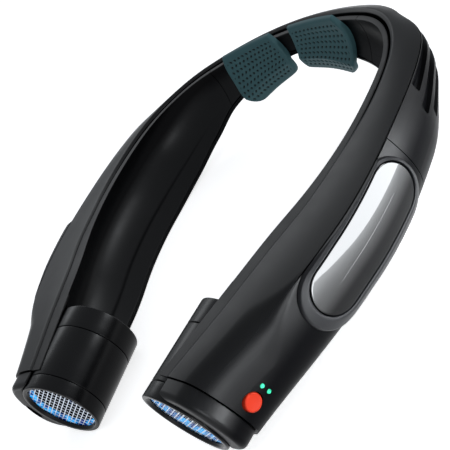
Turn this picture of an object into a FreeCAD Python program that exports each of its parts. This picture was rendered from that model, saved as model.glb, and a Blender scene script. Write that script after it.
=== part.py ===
# Electric neck fan: a U-shaped collar with a fan pod at the front end of each arm.
# Millimetres. +Z is up, +Y points to the nape, +X is the wearer's left.
# The part lies on its underside, with the origin at the middle of the bottom of its box.
import FreeCAD, Part
import math
import os
from collections import namedtuple

Vector = FreeCAD.Vector
os.makedirs("parts", exist_ok=True)

# Collar line seen from above: tangent arcs from the nape to the end of an arm
NAPE_RADIUS = 135.0
NAPE_TURN = 22.0
BEND_RADIUS = 49.0
BEND_TURN = 59.0
SIDE_RADIUS = 110.0
SIDE_TURN = 35.5
FLARE_RADIUS = 158.0
FLARE_TURN = -6.0
ARM_STRAIGHT = 53.0

# Heights above the table
BARREL_RADIUS = 16.8
GROOVE_ABOVE_AXIS = 17.2

# Casing
CASE_WALL = 1.8
SEAM_GAP = 0.3
GROOVE_WIDTH = 1.2
TOP_CROWN = 0.4
SHELL_SPLIT = 0.62
FLANGE_WIDTH = 1.5
FLANGE_DROP = 0.4
FRONT_FLANGE_DROP = 7.0
REAR_COVER_LENGTH = 137.0
CASE_SHORT = 3.0
REAR_STATIONS = 14
SEAM_REACH = 50.0
STATION_STEP = REAR_COVER_LENGTH / REAR_STATIONS

# Cross-sections along the collar: distance from the nape and the section's sizes there
# top: width of the top face; ridge: its rise over the groove; edge: height of its outer edge
# lip_out, lip_height: inner lower edge; fullness, bulge: roundness of the outer side
# rim, depth: rim strip and hollow of the air trough; sink: fall of the rim strip below the groove
Section = namedtuple("Section", "at top ridge edge lip_out lip_height fullness bulge rim depth sink")
SECTIONS = [
    Section(0.0, 6.3, 2.2, -1.0, -5.0, -10.5, 2.5, 0.3, 3.0, 0.0, 0.0),
    Section(45.0, 6.3, 2.0, -1.0, -9.0, -18.5, 2.2, 0.3, 3.0, 1.0, 0.0),
    Section(70.0, 6.5, 2.0, -1.0, -12.5, -26.5, 2.0, 0.3, 3.0, 3.0, 0.0),
    Section(98.0, 13.9, 1.5, -0.4, -13.0, -32.5, 1.8, 1.1, 3.2, 9.0, 1.0),
    Section(126.0, 16.5, 1.0, 0.0, -12.3, -34.15, 2.0, 5.3, 3.5, 14.0, 2.4),
    Section(182.0, 26.2, 0.8, -0.6, -7.5, -34.15, 2.8, 3.8, 3.5, 16.0, 2.6),
    Section(240.0, 19.0, 0.8, -0.8, 6.0, -33.0, 2.4, 6.5, 3.5, 16.0, 2.6),
]

# Inner liners and neck pads
LINER_WALL = 1.9
TROUGH_SKEW = 0.8
TROUGH_SHARE = 0.62
LINER_FOOT_GAP = 0.4
LINER_REAR = 50.0
LINER_FRONT = 199.0
RIM_RISE = 0.3
RIM_LEAN = 0.4
PAD_START = 2.5
PAD_END = 41.0
PAD_RISE = 4.0
PAD_TOP_SHARE = 0.04
PAD_THICKNESS = 3.0
PAD_CROWN = 0.9
PAD_KICK = 1.6
PAD_GAP = 0.35
PAD_DROP = 7.5

# Glossy panel and its bezel on the outer side of the arm
PANEL_AT = 163.4
PANEL_HEIGHT = 19.0
PANEL_LENGTH = 54.7
PANEL_TILT = -3.4
PANEL_MIDDLE = -11.4
PANEL_THICKNESS = 1.2
BEZEL_WIDTH = 3.0
BEZEL_AHEAD = 1.7
BEZEL_DROP = 1.0
BEZEL_RISE = 2.0
BEZEL_TAPER = 1.4
TRIM_GAP = 0.3

# Rear vent slots
VENT_WIDTH = 1.7
VENT_COUNT = 4
VENT_FIRST = 0.08
VENT_PITCH = 0.13
VENT_REAR = 64.0
VENT_FRONT = 120.0
VENT_STAGGER = 4.0
VENT_DEPTH = 4.0

# Fan pods: lengths run forward from the intake mesh along the pod's axis
POD_TOE = 7.6
POD_INSET = 2.1
INTAKE_AHEAD = 4.0
POD_CLEARANCE = 0.35
BARREL_WALL = 1.4
BARREL_LENGTH = 38.0
OUTLET_LENGTH = 10.0
INTAKE_LENGTH = 5.0
INTAKE_LIP = 1.2
INTAKE_OPENING = 15.2
RING_WALL = 0.8
FIT_GAP = 0.1
MESH_THICKNESS = 0.45
MESH_PITCH = 1.75
MESH_WIRE = 0.45
LIGHT_RING_WALL = 2.3

# Motor, wheel and mount on the pod's axis
WHEEL_FRONT = 6.5
WHEEL_LENGTH = 8.0
WHEEL_HUB_RADIUS = 6.5
WHEEL_TIP_GAP = 1.0
BLADE_COUNT = 7
BLADE_THICKNESS = 0.9
BLADE_ROOT_ANGLE = 50.0
BLADE_ROOT_DEPTH = 1.0
BLADE_FILL = 0.84
HUB_NOSE_SHARE = 0.45
BLADE_TIP_ANGLE = 30.0
SHAFT_RADIUS = 1.0
SHAFT_FIT = 0.05
BUSH_WALL = 1.2
BUSH_LENGTH = 1.6
MOTOR_RADIUS = 6.0
MOTOR_LENGTH = 10.5
MOTOR_GAP = 1.7
MOUNT_WALL = 1.1
MOUNT_BAND = 0.9
VANE_COUNT = 6
VANE_THICKNESS = 1.0
VANE_LENGTH = 8.0
SCREW_RADIUS = 0.8
SCREW_LENGTH = 3.0
SCREW_HEAD_RADIUS = 1.4
SCREW_HEAD_HEIGHT = 0.9
SCREW_CIRCLE = 3.6

# End cap with the charging slot
CAP_STEP = 0.9
CAP_FRONT = 0.6
CAP_TIP = 0.12
SOCKET_WIDTH = 8.94
SOCKET_HEIGHT = 3.26
SOCKET_DEPTH = 8.6
SOCKET_RECESS = 1.0
SOCKET_OUT = 21.6
SLOT_GAP = 0.25
CHARGE_BOARD_WIDTH = 12.0
CHARGE_BOARD_LENGTH = 14.0
BOARD_THICKNESS = 1.0

# Power button, indicator lights and control board on the left arm
BUTTON_AT = 231.0
BUTTON_ROUND = 0.281
BUTTON_RADIUS = 3.25
BUTTON_GAP = 0.2
BUTTON_RISE = 0.7
BUTTON_TRAVEL = 0.8
BUTTON_FLANGE_RADIUS = 4.2
BUTTON_FLANGE_DEPTH = 3.6
BUTTON_FLANGE_HEIGHT = 0.7
STEM_RADIUS = 1.6
STEM_LENGTH = 0.9
SWITCH_SIZE = 4.4
SWITCH_HEIGHT = 1.6
PLUNGER_RADIUS = 1.0
PLUNGER_HEIGHT = 0.3
LIGHT_AT = 224.35
LIGHT_ROUNDS = (0.247, 0.321)
LIGHT_RADIUS = 0.75
LIGHT_GAP = 0.1
BOARD_LENGTH = 21.4
BOARD_WIDTH = 9.0
BOARD_AHEAD = 5.4
POST_RADIUS = 1.3
POST_BACK = 12.0
POST_SPREAD = 2.9
POST_BITE = 0.7

# Batteries and wires
CELL_RADIUS = 6.6
CELL_REAR = 156.0
CELL_FRONT = 205.0
CELL_ROUND = 0.2
CELL_GAP = 0.4
WIRE_RADIUS = 0.6
WIRE_OUT = 3.7
WIRE_DROP = 2.4
WIRE_END = 194.0

# Sizes that follow from the ones above
ARCS = [(NAPE_RADIUS, NAPE_TURN), (BEND_RADIUS, BEND_TURN),
        (SIDE_RADIUS, SIDE_TURN), (FLARE_RADIUS, FLARE_TURN)]
ARC_LENGTHS = [radius * math.radians(abs(turn)) for radius, turn in ARCS]
ARM_LENGTH = sum(ARC_LENGTHS) + ARM_STRAIGHT
CASE_LENGTH = ARM_LENGTH - CASE_SHORT
AXIS_HEIGHT = BARREL_RADIUS
GROOVE_HEIGHT = AXIS_HEIGHT + GROOVE_ABOVE_AXIS
BARREL_BORE = BARREL_RADIUS - BARREL_WALL
END_TURN = math.radians(90.0 + POD_TOE - sum(turn for radius, turn in ARCS))
TURN_START = ARM_LENGTH - 45.0


def collar_line(length):
    """Plan point and heading of the groove line, from the nape, with the nape at y = 0."""
    x, y, heading = 0.0, 0.0, 0.0
    left = length
    for (radius, turn), arc_length in zip(ARCS, ARC_LENGTHS):
        run = min(left, arc_length)
        bend = math.copysign(radius, turn)
        new_heading = heading + run / bend
        x += bend * (math.sin(new_heading) - math.sin(heading))
        y += bend * (math.cos(new_heading) - math.cos(heading))
        heading = new_heading
        left -= run
    return x + left * math.cos(heading), y - left * math.sin(heading), heading


def ease(value):
    """Smooth step from 0 to 1."""
    value = min(max(value, 0.0), 1.0)
    return value * value * (3.0 - 2.0 * value)


def monotone_slopes(places, values):
    """Slopes of a smooth curve that doesn't overshoot its points, level at the nape."""
    rises = []
    for i in range(len(places) - 1):
        rises.append((values[i + 1] - values[i]) / (places[i + 1] - places[i]))
    slopes = [0.0]
    for before, after in zip(rises, rises[1:]):
        slopes.append(2.0 * before * after / (before + after) if before * after > 0 else 0.0)
    return slopes + [rises[-1]]


PLACES = [section.at for section in SECTIONS[:-1]] + [ARM_LENGTH]
COLUMNS = list(zip(*SECTIONS))[1:]
SLOPES = [monotone_slopes(PLACES, column) for column in COLUMNS]


def section_at(length):
    """Section sizes at a distance from the nape."""
    i = 0
    while i < len(PLACES) - 2 and length > PLACES[i + 1]:
        i += 1
    span = PLACES[i + 1] - PLACES[i]
    t = (length - PLACES[i]) / span
    sizes = []
    for column, slope in zip(COLUMNS, SLOPES):
        rise = column[i + 1] - column[i]
        start = span * slope[i]
        finish = span * slope[i + 1]
        curve = 3.0 * rise - 2.0 * start - finish
        twist = start + finish - 2.0 * rise
        sizes.append(column[i] + start * t + curve * t ** 2 + twist * t ** 3)
    return Section(length, *sizes)


def top_point(section, t):
    """Top face from the groove, t = 0, to its outer edge, t = 1."""
    start = GROOVE_WIDTH / 2
    rise = section.ridge + (section.edge - section.ridge) * t + TOP_CROWN * math.sin(math.pi * t)
    return start + (section.top - start) * t, rise


def side_point(section, t):
    """Outer side from the top face's edge, t = 0, to the inner lower lip, t = 1."""
    angle = t * math.pi / 2
    power = 2.0 / section.fullness
    reach = section.top - section.lip_out
    out = section.lip_out + reach * max(math.cos(angle), 0.0) ** power
    out += section.bulge * math.sin(2.0 * angle)
    return out, section.edge - (section.edge - section.lip_height) * math.sin(angle) ** power


def trough_point(section, t):
    """Neck side of the liner from the rim, t = 0, to just above the lip, t = 1."""
    foot = section.lip_height + CASE_WALL + LINER_FOOT_GAP
    start = -section.rim
    out = start + (section.lip_out + LINER_FOOT_GAP - start) * t * t
    out += section.depth * math.sin(math.pi * t ** TROUGH_SKEW) * TROUGH_SHARE
    return out, (foot + section.sink) * t - section.sink


def normal_at(curve, section, t):
    """Outward normal of a section curve that runs clockwise."""
    step = 0.004
    low = max(t - step, 0.0)
    high = min(t + step, 1.0)
    a = curve(section, low)
    b = curve(section, high)
    size = math.hypot(b[0] - a[0], b[1] - a[1])
    return -(b[1] - a[1]) / size, (b[0] - a[0]) / size


def offset_point(curve, section, t, rise):
    """Point of a section curve moved along its outward normal."""
    out, height = curve(section, t)
    normal = normal_at(curve, section, t)
    return out + normal[0] * rise, height + normal[1] * rise


def spread(start, finish, count):
    """Evenly spaced values with both ends."""
    return [start + (finish - start) * i / (count - 1) for i in range(count)]


def frame_at(length):
    """Plan point of the groove line and the outward direction of its section plane."""
    x, y, heading = collar_line(length)
    turned = heading + END_TURN * ease((length - TURN_START) / (ARM_LENGTH - TURN_START))
    return x, y, math.sin(turned), math.cos(turned)


POD_FORWARD = Vector(-math.sin(math.radians(POD_TOE)), -math.cos(math.radians(POD_TOE)), 0)
POD_OUTWARD = Vector(math.cos(math.radians(POD_TOE)), -math.sin(math.radians(POD_TOE)), 0)
END_X, END_Y = collar_line(ARM_LENGTH)[:2]
POD_X = END_X + INTAKE_AHEAD * POD_FORWARD.x - POD_INSET * POD_OUTWARD.x
POD_DROP = END_Y + INTAKE_AHEAD * POD_FORWARD.y - POD_INSET * POD_OUTWARD.y
FRONT_DROP = POD_DROP + INTAKE_LIP * POD_FORWARD.y + BARREL_RADIUS * POD_OUTWARD.y
REAR_REACH = max(side_point(section_at(0.0), t)[0] for t in spread(0.0, 0.5, 60))
NAPE_Y = -(REAR_REACH + FRONT_DROP) / 2
POD_ORIGIN = Vector(POD_X, NAPE_Y + POD_DROP, AXIS_HEIGHT)


def place(point, length):
    """Section point (outward, above the groove) as a point of the left arm, or of the right below 0."""
    x, y, out_x, out_y = frame_at(abs(length))
    side = 1.0 if length >= 0 else -1.0
    return Vector(side * (x + point[0] * out_x), NAPE_Y + y + point[0] * out_y, GROOVE_HEIGHT + point[1])


def edge_through(points):
    """Straight edge through two points, or a smooth curve through more."""
    if len(points) == 2:
        return Part.LineSegment(points[0], points[1]).toShape()
    curve = Part.BSplineCurve()
    curve.interpolate(points)
    return curve.toShape()


def loft(lengths, runs_at):
    """Solid through closed sections: runs_at(section) gives the runs of points round one section."""
    wires = []
    for length in lengths:
        runs = runs_at(section_at(abs(length)))
        edges = [edge_through([place(point, length) for point in run]) for run in runs]
        wires.append(Part.Wire(edges))
    return Part.makeLoft(wires, True, False)


def stations(start, finish):
    """Section places between two lengths: both ends, and whole station steps well inside them."""
    first = math.ceil(start / STATION_STEP + 0.4)
    last = math.floor(finish / STATION_STEP - 0.4)
    return [start] + [STATION_STEP * i for i in range(first, last + 1)] + [finish]


def closed_runs(outer, inner):
    """Section runs of a wall between an outer and an inner row of points."""
    return [outer, [outer[-1], inner[-1]], inner[::-1], [inner[0], outer[0]]]


def curve_length(curve, section):
    """Length of a section curve."""
    points = [curve(section, t) for t in spread(0.0, 1.0, 40)]
    return sum(math.hypot(b[0] - a[0], b[1] - a[1]) for a, b in zip(points, points[1:]))


def below_edge(section, drop):
    """Place on the outer side that lies a given drop below the top face's edge."""
    share = drop / (section.edge - section.lip_height)
    return math.asin(share ** (section.fullness / 2.0)) * 2.0 / math.pi


def side_wall(start, finish, rise, thickness, count=11):
    """Section runs of a wall that follows the outer side, mitred where it meets the top shell."""
    def runs_at(section):
        gap = SEAM_GAP / curve_length(side_point, section)
        outer_start = below_edge(section, SEAM_GAP) if start == 0.0 else start + gap
        inner_start = below_edge(section, thickness + 1.5 * SEAM_GAP) if start == 0.0 else start + gap
        last = finish - gap if finish < 1.0 else 1.0
        outer = [offset_point(side_point, section, t, rise) for t in spread(outer_start, last, count)]
        low = rise - thickness
        inner = [offset_point(side_point, section, t, low) for t in spread(inner_start, last, count)]
        return closed_runs(outer, inner)
    return runs_at


def lathe(profile):
    """Ring round the pod's axis from (radius, forward) points."""
    points = [Vector(radius, 0, forward) for radius, forward in profile]
    face = Part.Face(Part.makePolygon(points + points[:1]))
    return face.revolve(Vector(0, 0, 0), Vector(0, 0, 1), 360)


def tube(outer, inner, rear, front):
    """Plain tube on the pod's axis."""
    return lathe([(inner, rear), (outer, rear), (outer, front), (inner, front)])


def rod(radius, rear, front, x=0.0, y=0.0):
    """Cylinder along the local axis."""
    return Part.makeCylinder(radius, front - rear, Vector(x, y, rear))


def seat(shape, origin, x_axis, y_axis, z_axis):
    """Shape moved from local axes to a place on the part."""
    matrix = FreeCAD.Matrix(x_axis.x, y_axis.x, z_axis.x, origin.x,
                            x_axis.y, y_axis.y, z_axis.y, origin.y,
                            x_axis.z, y_axis.z, z_axis.z, origin.z, 0, 0, 0, 1)
    moved = shape.copy()
    moved.transformShape(matrix, True)
    return moved


def in_pod(shape):
    """Shape from pod axes (outward, up, forward) to the left pod."""
    return seat(shape, POD_ORIGIN, POD_OUTWARD, Vector(0, 0, 1), POD_FORWARD)


def mirrored(shape):
    """The same shape on the right arm."""
    return shape.mirror(Vector(0, 0, 0), Vector(1, 0, 0))


def pod_room():
    """Space that the casing leaves free for a pod."""
    return in_pod(rod(BARREL_RADIUS + POD_CLEARANCE, -BARREL_LENGTH - POD_CLEARANCE, INTAKE_AHEAD))


def front_flange():
    """Deeper stretch of the flange over the left pod, ahead of the liner."""
    def runs_at(section):
        near = GROOVE_WIDTH / 2
        far = near + FLANGE_WIDTH
        head = section.ridge - CASE_WALL / 2
        corners = [(near, head), (far, head), (far, -FRONT_FLANGE_DROP), (near, -FRONT_FLANGE_DROP)]
        return [[a, b] for a, b in zip(corners, corners[1:] + corners[:1])]
    return loft(stations(LINER_FRONT + CASE_WALL, CASE_LENGTH), runs_at)


def top_shell():
    """Top face of the whole collar, with a flange along the groove."""
    def runs_at(section):
        width = section.top - GROOVE_WIDTH / 2
        outer = [top_point(section, t) for t in spread(0.0, 1.0 - SEAM_GAP / 2 / width, 6)]
        inner_start = FLANGE_WIDTH / width
        inner_finish = 1.0 - (CASE_WALL + 1.5 * SEAM_GAP) / width
        under = [top_point(section, t) for t in spread(inner_start, inner_finish, 5)]
        inner = [(out, height - CASE_WALL) for out, height in under]
        foot = inner[0][1] - FLANGE_DROP
        heel = inner[0][0]
        return [outer, [outer[-1], inner[-1]], inner[::-1], [inner[0], (heel, foot)],
                [(heel, foot), (GROOVE_WIDTH / 2, foot)], [(GROOVE_WIDTH / 2, foot), outer[0]]]
    flange = front_flange()
    shell = loft(stations(-CASE_LENGTH, CASE_LENGTH), runs_at).fuse([flange, mirrored(flange)])
    return shell.cut([pod_room(), mirrored(pod_room())])


def bottom_shell():
    """Underside of the whole collar, from the lower seam to the inner lip, with a flat land to rest on."""
    shell = loft(stations(-CASE_LENGTH, CASE_LENGTH), side_wall(SHELL_SPLIT, 1.0, 0.0, CASE_WALL))
    reach = 2 * ARM_LENGTH
    table = Part.makeBox(reach, reach, CASE_WALL, Vector(-reach / 2, -reach / 2, -CASE_WALL))
    return shell.cut([pod_room(), mirrored(pod_room()), table])


def vent_cutter(index):
    """One long curved vent slot through the rear cover of the left arm."""
    front = VENT_FRONT - VENT_STAGGER * abs(index - 1)
    middle = VENT_FIRST + VENT_PITCH * index

    def runs_at(section):
        half = VENT_WIDTH / 2 / curve_length(side_point, section)
        corners = [(middle - half, CASE_WALL), (middle + half, CASE_WALL),
                   (middle + half, -VENT_DEPTH), (middle - half, -VENT_DEPTH)]
        points = [offset_point(side_point, section, t, rise) for t, rise in corners]
        return [[a, b] for a, b in zip(points, points[1:] + points[:1])]
    return loft(stations(VENT_REAR + VENT_STAGGER * index, front), runs_at)


def seam_block(start, finish):
    """Block round the left arm, between two distances ahead of the rear cover's end."""
    out_x, out_y = frame_at(REAR_COVER_LENGTH)[2:]
    middle = place((0.0, 0.0), REAR_COVER_LENGTH)
    corner = Vector(start, -SEAM_REACH, -SEAM_REACH)
    block = Part.makeBox(finish - start, 2 * SEAM_REACH, 2 * SEAM_REACH, corner)
    return seat(block, middle, Vector(out_y, -out_x, 0), Vector(out_x, out_y, 0), Vector(0, 0, 1))


def rear_cover():
    """Outer side round the nape, with long vent slots on both sides."""
    reach = REAR_COVER_LENGTH + STATION_STEP
    cover = loft(stations(-reach, reach), side_wall(0.0, SHELL_SPLIT, 0.0, CASE_WALL))
    cuts = [vent_cutter(index) for index in range(VENT_COUNT)]
    cuts.append(seam_block(-SEAM_GAP / 2, 2 * STATION_STEP))
    return cover.cut(cuts + [mirrored(cut) for cut in cuts])


def side_cover():
    """Outer side of the left arm from the rear cover to the arm's end."""
    start = REAR_COVER_LENGTH - STATION_STEP
    cover = loft(stations(start, CASE_LENGTH), side_wall(0.0, SHELL_SPLIT, 0.0, CASE_WALL))
    return cover.cut(seam_block(-2 * STATION_STEP, SEAM_GAP / 2))


def liner(start, finish):
    """Neck side of the collar: rim strip and air trough."""
    def runs_at(section):
        ts = spread(0.0, 1.0, 11)
        front = [trough_point(section, t) for t in ts]
        brim = RIM_RISE - section.sink * RIM_LEAN
        edge = (-GROOVE_WIDTH / 2, brim)
        back = [(-GROOVE_WIDTH / 2, brim - LINER_WALL)]
        back += [(out + LINER_WALL, height) for out, height in front[2:]]
        return [[edge, front[0]], front, [front[-1], back[-1]], back[::-1], [back[0], edge]]
    return loft(stations(start, finish), runs_at)


def neck_pad():
    """Soft pad on the neck side near the nape, hanging a little below the band."""
    def runs_at(section):
        back = [trough_point(section, t) for t in spread(PAD_TOP_SHARE, 1.0, 6)]
        back = [(out - PAD_GAP, height) for out, height in back]
        back.insert(0, (back[0][0], PAD_RISE))
        end_share = abs(2.0 * (section.at - PAD_START) / (PAD_END - PAD_START) - 1.0)
        drop = PAD_DROP * math.sqrt(max(1.0 - 0.5 * end_share ** 4, 0.0))
        back.append((section.lip_out - 4 * PAD_GAP, section.lip_height))
        back.append((section.lip_out - PAD_KICK, section.lip_height - drop))
        count = len(back)
        front = []
        for i, (out, height) in enumerate(back):
            crown = PAD_THICKNESS + PAD_CROWN * (math.sin(math.pi * i / (count - 1)) - 1.0)
            front.append((out - crown, height))
        return closed_runs(front, back)
    return loft(stations(PAD_START, PAD_END), runs_at)


def panel_axes():
    """Middle of the panel and its directions: along the arm, up, outward."""
    x, y, heading = collar_line(PANEL_AT)
    section = section_at(PANEL_AT)
    outward = Vector(math.sin(heading), math.cos(heading), 0)
    tilt = math.radians(PANEL_TILT)
    level = Vector(math.cos(heading), -math.sin(heading), 0)
    along = level * math.cos(tilt) + Vector(0, 0, math.sin(tilt))
    middle = Vector(x, NAPE_Y + y, GROOVE_HEIGHT + PANEL_MIDDLE) + outward * section.top
    return middle, along, along.cross(outward), outward


def stadium(length, height, level):
    """Stadium outline in the plane at one level."""
    half = height / 2
    flat = (length - height) / 2
    tip = flat + half
    corners = [Vector(x, y, level) for x, y in ((-flat, half), (flat, half), (flat, -half), (-flat, -half))]
    edges = [
        Part.LineSegment(corners[0], corners[1]),
        Part.Arc(corners[1], Vector(tip, 0, level), corners[2]),
        Part.LineSegment(corners[2], corners[3]),
        Part.Arc(corners[3], Vector(-tip, 0, level), corners[0]),
    ]
    return Part.Wire([edge.toShape() for edge in edges])


def stadium_block(length, height, depth):
    """Straight stadium block through the side of the arm at the panel."""
    middle, along, _, outward = panel_axes()
    block = Part.Face(stadium(length, height, -depth)).extrude(Vector(0, 0, 2 * depth))
    return seat(block, middle, along, outward.cross(along), outward)


def side_slab(low, high):
    """Curved slab over the side cover and a little of the rear cover, between two rises."""
    start = REAR_COVER_LENGTH - STATION_STEP
    return loft(stations(start, CASE_LENGTH), side_wall(0.0, SHELL_SPLIT, high, high - low))


def bezel():
    """Raised frame round the glossy panel, leaning in towards its crown."""
    middle, along, up, outward = panel_axes()
    length = PANEL_LENGTH + 2 * BEZEL_WIDTH
    height = PANEL_HEIGHT + 2 * BEZEL_WIDTH
    deep = PANEL_HEIGHT
    flare = BEZEL_TAPER * deep / BEZEL_RISE / 2
    wide = stadium(length + flare, height + flare, -deep)
    narrow = stadium(length - 2 * BEZEL_TAPER, height - 2 * BEZEL_TAPER, BEZEL_RISE * 2)
    centre = middle + along * BEZEL_AHEAD - up * BEZEL_DROP
    block = seat(Part.makeLoft([wide, narrow], True, True), centre, along, outward.cross(along), outward)
    frame = side_slab(TRIM_GAP, BEZEL_RISE).common(block)
    return frame.cut(stadium_block(PANEL_LENGTH, PANEL_HEIGHT, deep))


def accent_panel():
    """Glossy panel inside the bezel."""
    slab = side_slab(TRIM_GAP, TRIM_GAP + PANEL_THICKNESS)
    return slab.common(stadium_block(PANEL_LENGTH - 2 * TRIM_GAP, PANEL_HEIGHT - 2 * TRIM_GAP, PANEL_HEIGHT))


def pod_barrel():
    """Middle of the pod's wall, between the intake ring and the outlet ring."""
    rear = -BARREL_LENGTH + OUTLET_LENGTH + SEAM_GAP / 2
    return in_pod(tube(BARREL_RADIUS, BARREL_BORE, rear, -INTAKE_LENGTH - SEAM_GAP))


def outlet_ring():
    """Open rear end of the pod, with its bore flared towards the trough."""
    front = -BARREL_LENGTH + OUTLET_LENGTH - SEAM_GAP / 2
    flare = BARREL_WALL / 2
    return in_pod(lathe([(BARREL_BORE, front), (BARREL_RADIUS, front), (BARREL_RADIUS, -BARREL_LENGTH),
                         (BARREL_BORE + flare, -BARREL_LENGTH), (BARREL_BORE, -BARREL_LENGTH + 2 * flare)]))


def intake_ring():
    """Front ring of the pod, with a seat for the mesh behind its lip."""
    seat_radius = BARREL_RADIUS - RING_WALL
    chamfer = INTAKE_LIP / 2
    return in_pod(lathe([(seat_radius, -INTAKE_LENGTH), (BARREL_RADIUS, -INTAKE_LENGTH),
                         (BARREL_RADIUS, INTAKE_LIP - chamfer), (BARREL_RADIUS - chamfer, INTAKE_LIP),
                         (INTAKE_OPENING + chamfer / 2, INTAKE_LIP), (INTAKE_OPENING, INTAKE_LIP - chamfer),
                         (INTAKE_OPENING, 0.0), (seat_radius, 0.0)]))


def intake_mesh():
    """Wire mesh disc with square openings."""
    radius = BARREL_RADIUS - RING_WALL - FIT_GAP
    clear = INTAKE_OPENING - MESH_WIRE
    half = (MESH_PITCH - MESH_WIRE) / 2
    count = int(clear / MESH_PITCH) + 1
    holes = []
    for i in range(-count, count + 1):
        for j in range(-count, count + 1):
            x, y = i * MESH_PITCH, j * MESH_PITCH
            if math.hypot(abs(x) + half, abs(y) + half) < clear:
                corners = [Vector(x - half, y - half, 0), Vector(x + half, y - half, 0),
                           Vector(x + half, y + half, 0), Vector(x - half, y + half, 0)]
                holes.append(Part.makePolygon(corners + corners[:1]))
    rim = Part.Wire(Part.makeCircle(radius))
    disc = Part.makeFace([rim] + holes, "Part::FaceMakerBullseye")
    plate = disc.extrude(Vector(0, 0, MESH_THICKNESS))
    plate.translate(Vector(0, 0, -MESH_THICKNESS - FIT_GAP / 2))
    return in_pod(plate)


def light_ring():
    """Clear ring behind the mesh that carries the blue light."""
    outer = BARREL_RADIUS - RING_WALL - FIT_GAP
    front = -MESH_THICKNESS - 2 * FIT_GAP
    return in_pod(tube(outer, outer - LIGHT_RING_WALL, -INTAKE_LENGTH + FIT_GAP, front))


WHEEL_REAR = -WHEEL_FRONT - WHEEL_LENGTH
MOTOR_FRONT = WHEEL_REAR - MOTOR_GAP
MOTOR_REAR = MOTOR_FRONT - MOTOR_LENGTH
BUSH_RADIUS = SHAFT_RADIUS + SHAFT_FIT + BUSH_WALL


def blade(angle):
    """One twisted fan blade, from inside the hub to the tip."""
    tip = BARREL_BORE - WHEEL_TIP_GAP
    middle = (WHEEL_REAR - WHEEL_FRONT) / 2
    wires = []
    for radius, pitch in ((WHEEL_HUB_RADIUS - BLADE_ROOT_DEPTH, BLADE_ROOT_ANGLE), (tip, BLADE_TIP_ANGLE)):
        lean = math.radians(pitch)
        half_chord = BLADE_FILL / 2 * WHEEL_LENGTH / math.sin(math.radians(BLADE_ROOT_ANGLE))
        corners = []
        for a, b in ((-1, -1), (1, -1), (1, 1), (-1, 1)):
            along = a * half_chord
            thick = b * BLADE_THICKNESS / 2
            corners.append(Vector(radius, along * math.cos(lean) - thick * math.sin(lean),
                                  middle + along * math.sin(lean) + thick * math.cos(lean)))
        wires.append(Part.makePolygon(corners + corners[:1]))
    shape = Part.makeLoft(wires, True, True)
    shape.rotate(Vector(0, 0, 0), Vector(0, 0, 1), angle)
    return shape


def fan_wheel():
    """Axial fan wheel with a domed hub and a blind bore for the shaft."""
    nose = WHEEL_HUB_RADIUS * HUB_NOSE_SHARE
    hub = lathe([(0.0, WHEEL_REAR), (WHEEL_HUB_RADIUS, WHEEL_REAR),
                 (WHEEL_HUB_RADIUS, -WHEEL_FRONT - nose / 2),
                 (WHEEL_HUB_RADIUS - nose, -WHEEL_FRONT), (0.0, -WHEEL_FRONT)])
    wheel = hub.fuse([blade(360.0 * i / BLADE_COUNT) for i in range(BLADE_COUNT)])
    return in_pod(wheel.cut(rod(SHAFT_RADIUS, WHEEL_REAR, -WHEEL_FRONT - CASE_WALL)))


def motor_shaft():
    """Shaft from inside the motor to the wheel's blind bore."""
    return in_pod(rod(SHAFT_RADIUS, MOTOR_REAR + CASE_WALL, -WHEEL_FRONT - CASE_WALL))


def shaft_bush():
    """Plain bush at the front of the motor."""
    return in_pod(tube(BUSH_RADIUS, SHAFT_RADIUS + SHAFT_FIT, MOTOR_FRONT - BUSH_LENGTH, MOTOR_FRONT))


def screw_places():
    """Places of the two motor screws round the axis."""
    return [(SCREW_CIRCLE, 0.0), (-SCREW_CIRCLE, 0.0)]


def motor_can():
    """Motor housing with a seat for the bush and two screw holes in its back."""
    can = rod(MOTOR_RADIUS, MOTOR_REAR, MOTOR_FRONT)
    cuts = [rod(BUSH_RADIUS, MOTOR_FRONT - BUSH_LENGTH, MOTOR_FRONT),
            rod(SHAFT_RADIUS + 2 * SHAFT_FIT, MOTOR_REAR + CASE_WALL - SHAFT_FIT, MOTOR_FRONT)]
    for x, y in screw_places():
        cuts.append(rod(SCREW_RADIUS + SHAFT_FIT, MOTOR_REAR, MOTOR_REAR + SCREW_LENGTH, x, y))
    return in_pod(can.cut(cuts))


def motor_mount():
    """Cup for the motor on guide vanes inside a band that fits the barrel."""
    bore = MOTOR_RADIUS + FIT_GAP
    hub = bore + MOUNT_WALL
    floor = MOTOR_REAR - FIT_GAP
    band_radius = BARREL_BORE - FIT_GAP
    cup = rod(hub, floor - MOUNT_WALL, MOTOR_FRONT - MOUNT_WALL)
    band = tube(band_radius, band_radius - MOUNT_BAND, floor - MOUNT_WALL, floor - MOUNT_WALL + VANE_LENGTH)
    vanes = []
    for i in range(VANE_COUNT):
        vane = Part.makeBox(band_radius - MOUNT_BAND / 2 - bore, VANE_THICKNESS, VANE_LENGTH,
                            Vector(bore, -VANE_THICKNESS / 2, floor - MOUNT_WALL))
        vane.rotate(Vector(0, 0, 0), Vector(0, 0, 1), 360.0 * i / VANE_COUNT)
        vanes.append(vane)
    mount = cup.fuse([band] + vanes).cut(rod(bore, floor, MOTOR_FRONT))
    holes = [rod(SCREW_RADIUS + SHAFT_FIT, floor - MOUNT_WALL, floor, x, y) for x, y in screw_places()]
    return in_pod(mount.cut(holes))


def motor_screws():
    """Two screws that hold the motor in its cup."""
    head_rear = MOTOR_REAR - FIT_GAP - MOUNT_WALL
    tip = MOTOR_REAR + SCREW_LENGTH - FIT_GAP
    screws = []
    for x, y in screw_places():
        shank = rod(SCREW_RADIUS, head_rear, tip, x, y)
        head = rod(SCREW_HEAD_RADIUS, head_rear - SCREW_HEAD_HEIGHT, head_rear, x, y)
        screws.append(in_pod(shank.fuse(head)))
    return screws


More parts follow.
